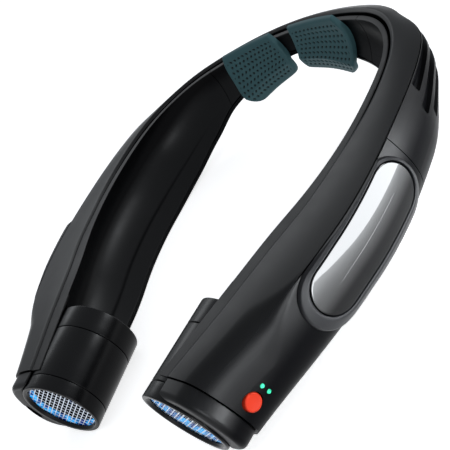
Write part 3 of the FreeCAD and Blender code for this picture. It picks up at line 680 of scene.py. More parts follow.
def settled_dust() -> Tree:
    """Group for the faint dust that settles on faces that look up.

    Returns:
        The group, with a mask out.
    """
    group, build, given, out = new_group("settled_dust", (("Amount", NUMBER, 0.1),), (("Mask", NUMBER),))
    split = build.add("ShaderNodeSeparateXYZ")
    build.link(build.add("ShaderNodeNewGeometry").outputs["Normal"], split.inputs[0])
    up = build.maths("POWER", build.maths("MAXIMUM", split.outputs["Z"], 0.0), 3.0)
    speck = build.maths("POWER", build.noise(build.place(), 420.0, 6.0), 3.0)
    mask = build.maths("MULTIPLY", build.maths("MULTIPLY", up, speck), given.outputs["Amount"], clamp=True)
    build.link(mask, out.inputs["Mask"])
    return group


def painted_sheen_by_facing() -> Tree:
    """Group for painted sheen and shade by facing: faces that look up and out are made shinier and
    undersides duller, so highlights show on top and undersides stay dark.

    Returns:
        The group, with a mask out that rises smoothly with the height of the part's own normal.
    """
    group, build, given, out = new_group(
        "painted_sheen_by_facing", (("From", NUMBER, -0.05), ("To", NUMBER, 0.35)), (("Mask", NUMBER),))
    split = build.add("ShaderNodeSeparateXYZ")
    build.link(build.add("ShaderNodeTexCoord").outputs["Normal"], split.inputs[0])
    ramp = build.add("ShaderNodeMapRange", interpolation_type="SMOOTHSTEP")
    build.feed(ramp, {"Value": split.outputs["Z"], "From Min": given.outputs["From"],
                      "From Max": given.outputs["To"]})
    build.link(ramp.outputs[0], out.inputs["Mask"])
    return group


GRAIN = moulded_grain()
DUST = settled_dust()
SHEEN_BY_FACING = painted_sheen_by_facing()
DUST_COLOUR = (0.30, 0.31, 0.33, 1.0)


def start_material(name: str) -> tuple[Material, Nodes, Node]:
    """Material with a Principled shader joined to its output.

    Args:
        name: Material name.

    Returns:
        The material, its node builder and the shader.
    """
    material = bpy.data.materials.new(name)
    material.use_nodes = True
    build = Nodes(material.node_tree)
    shader = build.add("ShaderNodeBsdfPrincipled")
    build.link(shader.outputs[0], build.add("ShaderNodeOutputMaterial").inputs[0])
    return material, build, shader


def bump(build: Nodes, height: Socket, shader: Node, strength: float, distance: float) -> None:
    """Joins a height to a shader's normal.

    Args:
        build: Node builder.
        height: Height from 0 to 1.
        shader: Principled shader.
        strength: Strength of the bump.
        distance: Height of the bump in metres.
    """
    node = build.add("ShaderNodeBump")
    build.feed(node, {"Strength": strength, "Distance": distance, "Height": height})
    build.link(node.outputs[0], shader.inputs["Normal"])


@dataclass(frozen=True)
class Plastic:
    """Moulded plastic: a colour that drifts to a worn tone, grain, a little dust, and painted sheen and
    shade that follow which way a face looks.
    """

    name: str
    colour: Triple
    worn: Triple
    roughness: float = 0.35
    spread: float = 0.1
    grain_scale: float = 2600.0
    grain: float = 0.12
    specular: float = 0.5
    # painted sheen: extra specular on faces that look up and out, so highlights show there and undersides
    # stay dark
    painted_sheen: float = 0.0
    painted_sheen_span: Pair = (-0.05, 0.35)
    coat: float = 0.0
    # painted shade: coat weight on faces that look down, lower than on faces that look up
    painted_shade_coat: float = 0.0
    coat_roughness: float = 0.1
    coat_index: float = 1.5
    dust: float = 0.0

    def build(self) -> Material:
        """Makes the material.

        Returns:
            The material.
        """
        material, build, shader = start_material(self.name)
        grain = build.group(GRAIN, {"Colour": (*self.colour, 1.0), "Worn Colour": (*self.worn, 1.0),
                                    "Roughness": self.roughness, "Spread": self.spread,
                                    "Grain Scale": self.grain_scale})
        colour, specular, coat = grain["Colour"], self.specular, self.coat
        if self.dust > 0.0:
            colour = build.blend(build.group(DUST, {"Amount": self.dust})["Mask"], colour, DUST_COLOUR)
        # painted sheen and shade: specular and coat weight follow the facing mask
        if self.painted_sheen > 0.0 or self.painted_shade_coat > 0.0:
            low, high = self.painted_sheen_span
            mask = build.group(SHEEN_BY_FACING, {"From": low, "To": high})["Mask"]
        if self.painted_sheen > 0.0:
            specular = build.maths("MULTIPLY_ADD", mask, self.painted_sheen, self.specular)
        if self.painted_shade_coat > 0.0:
            coat = build.maths("MULTIPLY_ADD", mask, self.coat - self.painted_shade_coat, self.painted_shade_coat)
        shader.inputs["Specular IOR Level"].default_value = self.specular
        shader.inputs["Coat Weight"].default_value = self.coat
        build.feed(shader, {"Base Color": colour, "Roughness": grain["Roughness"],
                            "Specular IOR Level": specular, "Coat Weight": coat,
                            "Coat Roughness": self.coat_roughness, "Coat IOR": self.coat_index})
        bump(build, grain["Height"], shader, self.grain, 0.00003)
        return material


@dataclass(frozen=True)
class Metal:
    """Drawn or plated metal with fine lines along one axis."""

    name: str
    colour: Triple
    worn: Triple
    roughness: float = 0.3
    stretch: Triple = (900.0, 60.0, 900.0)

    def build(self) -> Material:
        """Makes the material.

        Returns:
            The material.
        """
        material, build, shader = start_material(self.name)
        turn = build.add("ShaderNodeMapping")
        build.feed(turn, {"Vector": build.place(), "Scale": self.stretch})
        lines = build.noise(turn.outputs[0], 1.0, 4.0)
        swing = build.maths("MULTIPLY", build.maths("SUBTRACT", lines, 0.5), 0.3)
        build.feed(shader, {"Base Color": build.blend(lines, (*self.colour, 1.0), (*self.worn, 1.0)),
                            "Roughness": build.maths("ADD", swing, self.roughness, clamp=True),
                            "Metallic": 1.0})
        bump(build, lines, shader, 0.15, 0.00002)
        return material


@dataclass(frozen=True)
class Lit:
    """Clear plastic with a light behind it, brighter in soft patches."""

    name: str
    colour: Triple
    dim: Triple
    strength: float
    scale: float = 260.0
    contrast: float = 5.0
    offset: float = -2.1

    def build(self) -> Material:
        """Makes the material.

        Returns:
            The material.
        """
        material, build, shader = start_material(self.name)
        noise = build.noise(build.place(), self.scale, 2.0)
        patch = build.maths("MULTIPLY_ADD", noise, self.contrast, self.offset)
        colour = build.blend(patch, (*self.dim, 1.0), (*self.colour, 1.0))
        build.feed(shader, {"Base Color": colour, "Emission Color": colour,
                            "Emission Strength": self.strength,
                            "Roughness": 0.35, "Specular IOR Level": 0.05})
        return material


@dataclass(frozen=True)
class Silicone:
    """Soft matt silicone with painted shade in its dimples: a near-black colour blended in by dimple depth.
    """

    name: str
    colour: Triple
    # painted shade colour for the bottoms of the dimples
    dip: Triple
    dimple_shade_map: str = DIMPLE_SHADE_MAP
    worn_share: float = 1.35

    def build(self) -> Material:
        """Makes the material.

        Returns:
            The material.
        """
        material, build, shader = start_material(self.name)
        worn = tuple(self.worn_share * c for c in self.colour)
        grain = build.group(GRAIN, {"Colour": (*self.colour, 1.0), "Worn Colour": (*worn, 1.0),
                                    "Roughness": 0.52, "Spread": 0.12, "Grain Scale": 1800.0})
        # painted shade: the dimple depth share blends the colour towards near black
        dip = build.add("ShaderNodeAttribute", attribute_name=self.dimple_shade_map).outputs["Fac"]
        build.feed(shader, {"Base Color": build.blend(dip, grain["Colour"], (*self.dip, 1.0)),
                            "Roughness": grain["Roughness"], "Specular IOR Level": 0.2,
                            "Sheen Weight": 0.05, "Sheen Roughness": 0.5})
        bump(build, grain["Height"], shader, 0.25, 0.00004)
        return material


class Finishes:
    """All finishes of the part, made once."""

    def __init__(self) -> None:
        """Makes every material."""
        dark = (0.0016, 0.0017, 0.0021)
        worn = (0.0026, 0.0027, 0.0033)
        # shell, liner and pod take painted sheen on faces that look up and out
        self.shell = Plastic("shell_plastic", dark, worn, 0.34, specular=0.035, painted_sheen=0.27,
                             dust=0.01).build()
        self.liner = Plastic("liner_plastic", dark, worn, 0.4, specular=0.05, painted_sheen=0.22).build()
        self.pod = Plastic("pod_plastic", dark, worn, 0.27, 0.08, specular=0.08, painted_sheen=0.22,
                           dust=0.005).build()
        self.bezel = Plastic("bezel_plastic", (0.006, 0.0063, 0.0075), (0.009, 0.0094, 0.011), 0.38, 0.08,
                             specular=0.3).build()
        # the panel's lower half gets painted shade: a weaker coat on faces that look down
        self.panel = Plastic("panel_gloss", (0.0012, 0.0013, 0.0016), dark, 0.05, 0.015, 900.0, 0.004,
                             specular=0.05, painted_sheen_span=(-0.12, 0.06), coat=1.0, painted_shade_coat=0.25,
                             coat_roughness=0.012, coat_index=1.65).build()
        # the pad's second colour is painted shade in the dimples
        self.pad = Silicone("pad_silicone", (0.042, 0.100, 0.110), (0.002, 0.004, 0.005)).build()
        self.button = Plastic("button_red", (0.44, 0.022, 0.006), (0.5, 0.03, 0.008), 0.45, 0.1, 3000.0,
                              0.2, specular=0.12).build()
        self.green = Lit("light_green", (0.05, 0.60, 0.32), (0.02, 0.38, 0.2), 0.8).build()
        self.blue = Lit("light_blue", (0.03, 0.42, 0.90), (0.0004, 0.02, 0.16), 0.9, 300.0).build()
        self.mesh = Metal("mesh_metal", (0.80, 0.86, 0.94), (0.66, 0.73, 0.84), 0.42,
                          (1500.0, 1500.0, 1500.0)).build()
        # the wheel's blue tone is painted glow: it stands in for the blue light ring lighting the wheel
        # inside the pod; the motor mount takes it too
        self.wheel = Plastic("wheel_plastic", (0.006, 0.06, 0.22), (0.01, 0.09, 0.28), 0.25).build()
        self.steel = Metal("shaft_steel", (0.55, 0.55, 0.57), (0.42, 0.42, 0.44)).build()
        self.brass = Metal("bush_brass", (0.62, 0.45, 0.18), (0.5, 0.34, 0.12)).build()
        self.can = Metal("motor_steel", (0.46, 0.47, 0.48), (0.36, 0.37, 0.38), 0.35).build()
        self.socket = Metal("socket_steel", (0.32, 0.32, 0.34), (0.22, 0.22, 0.24), 0.38).build()
        self.cell = Plastic("cell_wrap", (0.008, 0.008, 0.009), (0.012, 0.012, 0.014), 0.3, 0.08).build()
        self.board = Plastic("board_green", (0.012, 0.10, 0.035), (0.02, 0.14, 0.05)).build()
        self.switch = Plastic("switch_black", (0.012, 0.012, 0.012), (0.02, 0.02, 0.02), 0.45).build()
        self.wire = Plastic("wire_sleeve", (0.012, 0.012, 0.013), (0.02, 0.02, 0.022), 0.5, 0.1, 1200.0,
                            0.4).build()


@dataclass(frozen=True)
class Casing:
    """Top shell, bottom shell, rear cover and side covers of the collar."""

    length: float = 237.0
    cover_seam: float = 137.0
    split: float = 0.62
    seam: float = 0.3
    flange: float = 1.5
    flange_drop: float = 0.4
    bevel_width: float = 1.6
    bevel_drops: Pair = (0.9, 0.55)
    bevel_span: Pair = (96.0, 50.0)
    shoulder_span: Pair = (184.0, 36.0)
    shoulder_least: float = 0.12
    shoulder_reach: float = 14.0
    seam_span: Pair = (184.0, 12.0)
    seam_closing: float = 0.95
    split_gap: float = 0.006
    bend_steps: int = 17
    crest_round: float = 0.5
    edge_round: float = 0.35
    vent_places: tuple[float, ...] = (0.08, 0.21, 0.34, 0.47)
    vent_rear: float = 64.0
    vent_front: float = 120.0
    vent_stagger: float = 4.0
    vent_width: float = 1.7
    vent_depth: float = 2.2
    louvre_width: float = 2.6
    louvre_depth: float = 1.5
    louvre_run: float = 30.0

    def shoulder(self, s: Array) -> Array:
        """Reach of the rounded shoulder on each side of the top edge, which opens towards the front."""
        return self.shoulder_least + self.shoulder_reach * grown(s, self.shoulder_span)[:, None]

    def seam_left(self, s: Array) -> Array:
        """Share of the seam that stays open, down to a hairline where the shoulder opens."""
        return 1.0 - self.seam_closing * grown(s, self.seam_span)[:, None]

    def edge_runs(self, s: Array) -> tuple[Array, Array]:
        """Top face and outer side, joined over the shoulder and parted by the seam.

        The face is a straight slope from the crest with a sine crown. The shoulder is a parabola that leans
        on the top edge, between points at the same reach on the face and on the side. The seam parts it at
        its middle and closes to a hairline where the shoulder opens.

        Args:
            s: Lengths of the sections.

        Returns:
            Points of the face and of the side, shaped sections by points by 2.
        """
        near = SECTION.groove_edges(s)[1][:, None]
        ridge, top, edge = (SECTION.size(name, s)[:, None] for name in ("ridge", "top", "edge"))
        width = top - near
        crest = self.bevel_width / width
        share = crest + (1.0 - crest) * np.linspace(0.0, 1.0, 60)[None, :]
        rise = ridge + (edge - ridge) * share + SECTION.crown * np.sin(math.pi * share)
        face = np.stack([near + width * share, rise], axis=-1)
        around = (self.split - self.split_gap) * np.linspace(0.0, 1.0, 150)[None, :] ** 2
        side = SECTION.side(s[:, None], around)
        corner = side[:, :1]
        face = walk_rows(face, 0.0, self.shoulder(s), 40)
        side = walk_rows(side, self.shoulder(s), 0.0, 64)
        middle = self.bend_steps // 2
        u = np.linspace(0.0, 1.0, self.bend_steps)[None, :, None]
        bend = parabola(face[:, -1:], corner, side[:, :1], u)
        gap = self.seam / 2.0 * self.seam_left(s)
        face = walk_rows(np.concatenate([face, bend[:, 1:middle + 1]], axis=1), 0.0, gap, 50)
        side = walk_rows(np.concatenate([bend[:, middle:-1], side], axis=1), gap, 0.0, 76)
        return face, side

    def top_shell(self) -> Piece:
        """Top face of the whole collar: a bevel beside the groove, a crest, the face, a mitre and a flange.

        Returns:
            The piece.
        """
        s = stations(-self.length, self.length)
        wall = SECTION.wall
        near = SECTION.groove_edges(s)[1]
        ridge = SECTION.size("ridge", s)
        face, _ = self.edge_runs(s)
        low, high = self.bevel_drops
        drop = low + (high - low) * grown(s, self.bevel_span)
        brink = np.stack([near, face[:, 0, 1] - drop], axis=1)
        under_end = face[:, -1] - np.array([wall + self.seam, wall])
        heel = np.stack([near + self.flange, np.minimum(ridge, brink[:, 1]) - wall], axis=1)
        foot = heel - np.array([0.0, self.flange_drop])
        toe = np.stack([near, foot[:, 1]], axis=1)
        runs = [line_run(brink, face[:, 0]), face, line_run(face[:, -1], under_end),
                line_run(under_end, heel), line_run(heel, foot), line_run(foot, toe), line_run(toe, brink)]
        rounds = (0.35, self.crest_round, self.edge_round * self.seam_left(s), 0.1, 0.1, 0.1, 0.1)
        outline = rounded_loop(runs, rounds, (4, 40, 3, 8, 2, 2, 3), 5)
        return sweep_piece("top_shell_skin", collar_points(s, outline))

    def wall_outline(self, s: Array, skin: Array, first: Array, last: float,
                     rounds: Sequence[float | Array]) -> Array:
        """Outline of a wall behind a skin on the outer side.

        Args:
            s: Lengths of the sections.
            skin: Outer points from top to bottom.
            first: Place round the side where the inner face starts, as a column.
            last: Place where it ends.
            rounds: Rounding at the upper and the lower outer corner.

        Returns:
            Outlines, shaped sections by points by 2.
        """
        t = np.linspace(0.0, 1.0, 40)[None, :]
        back = SECTION.side(s[:, None], first + (last - first) * t, -SECTION.wall)
        runs = [skin, line_run(skin[:, -1], back[:, -1]), back[:, ::-1], line_run(back[:, 0], skin[:, 0])]
        return rounded_loop(runs, (rounds[0], rounds[1], 0.1, 0.1), (66, 3, 12, 3), 5)

    def bottom_shell(self) -> Piece:
        """Underside of the whole collar, from the lower seam to the lip.

        Returns:
            The piece.
        """
        s = stations(-self.length, self.length)
        first = np.full((len(s), 1), self.split + self.split_gap)
        skin = SECTION.side(s[:, None], first + (1.0 - first) * np.linspace(0.0, 1.0, 70)[None, :])
        points = collar_points(s, self.wall_outline(s, skin, first, 1.0, (0.2, 0.8)))
        points[..., 2] = np.maximum(points[..., 2], 0.0)
        return sweep_piece("bottom_shell_skin", points)

    def side_cover(self, side: Side) -> Piece:
        """Outer side of an arm, from the rear cover to the arm's end.

        Args:
            side: Arm.

        Returns:
            The piece.
        """
        s = stations(self.cover_seam + self.seam / 2.0, self.length, 1.5) * side.value
        _, skin = self.edge_runs(s)
        first = SECTION.below_edge(s[:, None], SECTION.wall + 1.5 * self.seam + 0.6 * self.shoulder(s))
        rounds = (self.edge_round * self.seam_left(s), 0.2)
        outline = self.wall_outline(s, skin, first, self.split - self.split_gap, rounds)
        return sweep_piece(side.label + "_side_cover_skin", collar_points(s, outline))

    def vent_reach(self, index: int) -> Pair:
        """Rear and front end of a vent slot, staggered from slot to slot."""
        stagger = self.vent_stagger
        return self.vent_rear + stagger * index, self.vent_front - stagger * abs(index - 1)

    def rear_cover(self) -> Piece:
        """Outer side round the nape with long round-ended slots, each with a sloping louvre above it.

        Rows of the skin run along each slot's two edges: between the ends of a slot they lie half its
        width from its middle, pinched to a half circle at the ends, and the rows between them drop in.
        The louvre's rows sink from the skin to the slot's upper edge.

        Returns:
            The piece.
        """
        reach = self.cover_seam - self.seam / 2.0
        half = self.vent_width / 2.0
        tip = (1.0 - np.cos(np.linspace(0.0, math.pi / 2.0, 9))) * half
        lengths = [stations(0.0, reach, 2.2)]
        for index in range(len(self.vent_places)):
            rear, front = self.vent_reach(index)
            lengths += [rear + tip, front - tip, np.array([rear - 0.02, front + 0.02])]
            lengths += [front - half - self.louvre_width * np.array([0.2, 0.5, 0.9])]
        arm = np.unique(np.round(np.concatenate(lengths), 3))
        s = np.concatenate([-arm[:0:-1], arm])
        rows = s[:, None]
        wander = SECTION.side(rows, np.linspace(0.0, 1.0, 60)[None, :])
        around = np.linalg.norm(np.diff(wander, axis=1), axis=2).sum(axis=1)[:, None]
        first = SECTION.below_edge(rows, self.seam)
        level = np.zeros_like(first)
        columns, depths = [first], [level]
        before = first
        for index, middle in enumerate(self.vent_places):
            rear, front = self.vent_reach(index)
            inside = np.clip(np.minimum(np.abs(rows) - rear, front - np.abs(rows)), 0.0, half)
            pinch = np.sqrt(np.maximum(half ** 2 - (half - inside) ** 2, 0.0))
            wide = np.maximum(pinch, 0.02) / around
            sunk = np.where(pinch > 0.0, self.vent_depth, 0.0)
            swell = grown(rows, (rear, self.louvre_run)) * pinch / half
            low, high = middle - wide, middle + wide
            slope = np.minimum(np.maximum(self.louvre_width * swell, 0.06) / around, 0.85 * (low - before))
            lip = self.louvre_depth * swell
            brow = low - slope
            columns += [before + (brow - before) * share for share in (0.3, 0.6, 0.93)]
            columns += [brow, brow + 0.3 * slope, brow + 0.7 * slope, low, low + 0.12 * wide,
                        middle + 0.0 * wide, high - 0.12 * wide, high]
            depths += [level] * 4 + [0.3 * lip, 0.75 * lip, lip] + [sunk] * 3 + [level]
            before = high
        last = self.split - self.split_gap
        shares = (0.07, 0.25, 0.5, 0.75, 1.0)
        columns += [before + (last - before) * share for share in shares]
        depths += [level] * len(shares)
        skin = SECTION.side(rows, np.concatenate(columns, axis=1), -np.concatenate(depths, axis=1))
        start = SECTION.below_edge(rows, SECTION.wall + 1.5 * self.seam)
        inward = start + (last - start) * np.linspace(1.0, 0.0, 12)[None, :]
        outline = np.concatenate([skin, SECTION.side(rows, inward, -SECTION.wall)], axis=1)
        return sweep_piece("rear_cover_skin", collar_points(s, outline), 30.0)

    def build(self, finishes: Finishes) -> None:
        """Makes and dresses the casing.

        Args:
            finishes: Finishes of the part.
        """
        pieces = {"top_shell": self.top_shell(), "bottom_shell": self.bottom_shell(),
                  "rear_cover": self.rear_cover()}
        pieces |= {side.label + "_side_cover": self.side_cover(side) for side in Side}
        cut_piece(pieces["left_side_cover"], CONTROLS.cutters(), 30.0)
        for node, piece in pieces.items():
            settle(piece, finishes.shell, "shell_plastic", node)


CASING = Casing()


@dataclass(frozen=True)
class Liners:
    """Neck side of the collar: rim strip and air trough, in three lengths."""

    rear: float = 50.0
    front: float = 199.0
    seam: float = 0.3
    wall: float = 1.9
    rim_rise: float = 0.3
    rim_fall: float = 0.2
    rim_tuck: float = 0.45
    rim_reach: float = 0.7
    tail: float = 237.0
    tail_thickness: float = 0.75
    ledge_at: float = 0.8
    ledge: float = 0.7
    ledge_step: float = 0.025
    full_sink: float = 2.4
    full_depth: float = 9.0

    def crest(self, s: Array) -> Array:
        """Height of the rim strip beside the groove, which falls a little along the arms."""
        return self.rim_rise - self.rim_fall * SECTION.closed(s)

    def brim(self, s: Array) -> Array:
        """Outer edge of the rim strip, which runs on under the top shell's edge where the groove closes."""
        inner, _ = SECTION.groove_edges(s)
        return np.stack([inner + self.rim_tuck * SECTION.closed(s), self.crest(s)], axis=1)

    def rim_tail(self, side: Side) -> Piece:
        """Thin strip that carries the rim on from the trough's end, over the pod, to the arm's end.

        Args:
            side: Arm.

        Returns:
            The piece.
        """
        s = np.linspace(self.front, self.tail, 24) * side.value
        crest = self.crest(s)
        inner = -SECTION.size("rim", s) - self.rim_reach
        brim = self.brim(s)
        lip = np.stack([inner, 0.5 * crest], axis=1)
        drop = np.array([0.0, self.tail_thickness])
        runs = [line_run(brim, lip), line_run(lip, lip - drop), line_run(lip - drop, brim - drop),
                line_run(brim - drop, brim)]
        outline = rounded_loop(runs, (0.35, 0.35, 0.1, 0.1), (6, 3, 4, 3), 5)
        return sweep_piece(side.label + "_rim_tail", collar_points(s, outline), 30.0)

    def liner(self, name: str, start: float, finish: float) -> Piece:
        """One length of liner: rim strip, rounded rim edge, hollow trough, a ledge and a foot over the lip.

        The trough's upper end is drawn up to the rim strip by powers of the distance from its foot, and a
        smooth step near the foot brings the ledge forward.

        Args:
            name: Piece name.
            start: Rear end, from the nape.
            finish: Front end.

        Returns:
            The piece.
        """
        s = stations(start, finish)
        t = np.linspace(0.0, 1.0, 90)[None, :]
        sunk = SECTION.size("sink", s)
        crest = self.crest(s)
        front = SECTION.trough(s[:, None], t)
        front[..., 1] += sunk[:, None] * (1.0 - t) + 0.5 * crest[:, None] * (1.0 - t) ** 4
        front[..., 0] -= self.rim_reach * smooth_step(sunk / self.full_sink)[:, None] * (1.0 - t) ** 6
        deep = smooth_step(SECTION.size("depth", s)[:, None] / self.full_depth)
        front[..., 0] -= self.ledge * deep * smooth_step((t - self.ledge_at) / self.ledge_step)
        brim = self.brim(s)
        back_top = brim - np.array([0.0, self.wall])
        back = np.concatenate([back_top[:, None], front[:, 20:] + np.array([self.wall, 0.0])], axis=1)
        runs = [line_run(brim, front[:, 0]), front, line_run(front[:, -1], back[:, -1]), back[:, ::-1],
                line_run(back[:, 0], brim)]
        outline = rounded_loop(runs, (0.35, 0.6, 0.4, 0.1, 0.1), (4, 90, 3, 16, 3), 5)
        return sweep_piece(name, collar_points(s, outline), 30.0)

    def build(self, finishes: Finishes) -> None:
        """Makes and dresses the liners.

        Args:
            finishes: Finishes of the part.
        """
        half = self.seam / 2.0
        nape = self.liner("nape_liner_skin", -self.rear + half, self.rear - half)
        settle(nape, finishes.liner, "liner_plastic", "nape_liner")
        for side in Side:
            name = side.label + "_inner_liner"
            piece = self.liner(name + "_skin", side.value * (self.rear + half), side.value * self.front)
            settle(piece, finishes.liner, "liner_plastic", name)
            settle(self.rim_tail(side), finishes.liner, "liner_plastic", name)


@dataclass(frozen=True)
class NeckPads:
    """Soft dimpled pads on the neck side, either side of the nape."""

    rear: float = 2.5
    front: float = 41.0
    rear_lean: float = 4.0
    front_lean: float = 3.6
    front_corner: float = 13.0
    rear_corner: float = 3.0
    bulge_at: float = 0.38
    rise: float = 4.0
    thickness: float = 2.1
    crown: float = 0.9
    gap: float = 0.35
    kick: float = 1.6
    drop: float = 7.5
    edge_round: float = 1.2
    pitch: Pair = (2.7, 2.3)
    lens: Pair = (0.36, 0.24)
    lens_turn: float = 35.0
    dimple_depth: float = 0.5
    dimple_margin: float = 1.8
    columns: int = 200
    rows: int = 150
    guides: int = 60
    levels: int = 400

    def spine(self, guide: Array) -> Array:
        """Back of the pad down each section: up over the rim, down the liner, then free below the lip.

        Args:
            guide: Distances from the nape.

        Returns:
            Section points, shaped guide by points by 2.
        """
        face = SECTION.trough(guide[:, None], np.linspace(0.04, 1.0, 30)[None, :])
        face = face - np.array([self.gap, 0.0])
        head = np.stack([face[:, 0, 0], np.full_like(guide, self.rise)], axis=1)
        lip = np.stack([SECTION.size("lip_out", guide), SECTION.size("lip_height", guide)], axis=1)
        end = np.abs(2.0 * (guide - self.rear) / (self.front - self.rear) - 1.0)
        hang = self.drop * np.sqrt(np.maximum(1.0 - 0.5 * end ** 4, 0.0))
        knee = lip - np.array([4.0 * self.gap, 0.0])
        tail = lip - np.stack([np.full_like(hang, self.kick), hang], axis=1)
        return np.concatenate([head[:, None], face, knee[:, None], tail[:, None]], axis=1)

    def crowded(self, count: int) -> Array:
        """Shares from 0 to 1 that stand closer at both ends."""
        even = np.linspace(0.0, 1.0, count)
        return 0.5 * even + 0.25 - 0.25 * np.cos(math.pi * even)

    def ends(self, down: Array) -> tuple[Array, Array]:
        """Rear and front edge of the pad.

        The rear edge leans to the nape lower down and rounds off at the bottom. The front edge bulges and
        then turns back into the lower edge as a quarter of a superellipse.

        Args:
            down: Places down the pad, from 0 to 1.

        Returns:
            Distances from the nape.
        """
        above = np.clip(1.0 - down / self.bulge_at, 0.0, 1.0)
        below = np.clip((down - self.bulge_at) / (1.0 - self.bulge_at), 0.0, 1.0)
        start = self.rear + self.rear_lean * (1.0 - down) ** 1.5
        start = start + self.rear_corner * (1.0 - np.sqrt(1.0 - 0.998 * down ** 9))
        finish = self.front - self.front_lean * above ** 2
        return start, finish - self.front_corner * (1.0 - np.sqrt(1.0 - 0.998 * below ** 3.2))

    def dimples(self, u: Array, v: Array) -> Array:
        """Depth share of the dimples: the root of a lens, turned one way and the other in staggered rows.

        Args:
            u: Cells along the pad.
            v: Cells down it.

        Returns:
            Shares from 0 to 1.
        """
        odd = np.floor(v) % 2.0
        cell_u = (u + 0.5 * odd) % 1.0 - 0.5
        cell_v = v % 1.0 - 0.5
        turn = np.radians(self.lens_turn) * (1.0 - 2.0 * odd)
        long_way = (cell_u * np.cos(turn) + cell_v * np.sin(turn)) / self.lens[0]
        short_way = (cell_v * np.cos(turn) - cell_u * np.sin(turn)) / self.lens[1]
        return np.sqrt(np.clip(1.0 - long_way ** 2 - short_way ** 2, 0.0, 1.0))

    def pad(self, side: Side) -> tuple[Piece, Array]:
        """One pad: a skin that follows the liner and hangs below it, crowned, rounded and dimpled.

        Across the pad, lengths run from the rear edge to the front edge. Down the pad, points walk the
        spine. The thickness is a sine crown that falls in a quarter circle at the edges.

        Args:
            side: Arm.

        Returns:
            The piece and the depth share of the dimples at its points.
        """
        along = self.crowded(self.columns)[:, None]
        down = self.crowded(self.rows)[None, :]
        start, finish = self.ends(down)
        s = start + (finish - start) * along
        guide = np.linspace(self.rear, self.front, self.guides)
        spine = self.spine(guide)
        levels = walk_rows(spine, 0.0, 0.0, self.levels)
        pick = np.clip((s - guide[0]) / (guide[1] - guide[0]), 0.0, len(guide) - 1.001)
        low = pick.astype(int)
        share = (pick - low)[..., None]
        column = np.broadcast_to(np.rint(down * (self.levels - 1)).astype(int), low.shape)
        back = levels[low, column] * (1.0 - share) + levels[low + 1, column] * share
        height = np.linalg.norm(np.diff(spine, axis=1), axis=2).sum(axis=1).mean()
        edge = np.minimum(np.minimum(along, 1.0 - along) * (finish - start),
                          np.minimum(down, 1.0 - down) * height)
        dip = np.clip(self.edge_round - edge, 0.0, self.edge_round)
        fall = self.edge_round - np.sqrt(self.edge_round ** 2 - dip ** 2)
        dimple = self.dimples((s - self.rear) / self.pitch[0], down * height / self.pitch[1])
        dimple = dimple * smooth_step(edge - self.dimple_margin)
        thick = self.thickness + self.crown * np.sin(math.pi * down) - fall - self.dimple_depth * dimple
        front = back - np.stack([thick, 0.0 * thick], axis=-1)
        signed = s * side.value
        piece = slab_piece(side.label + "_neck_pad_skin", LINE.place(signed, front[..., 0], front[..., 1]),
                           LINE.place(signed, back[..., 0], back[..., 1]), 60.0)
        return piece, np.concatenate([dimple.ravel(), np.zeros(dimple.size)])

    def build(self, finishes: Finishes) -> None:
        """Makes and dresses both pads.

        Args:
            finishes: Finishes of the part.
        """
        for side in Side:
            piece, dimple = self.pad(side)
            # the dimple depth share is kept for the painted shade in the pad's material
            mark = piece.data.attributes.new(DIMPLE_SHADE_MAP, "FLOAT", "POINT")
            mark.data.foreach_set("value", dimple.astype(np.float32))
            settle(piece, finishes.pad, "pad_silicone", side.label + "_neck_pad")


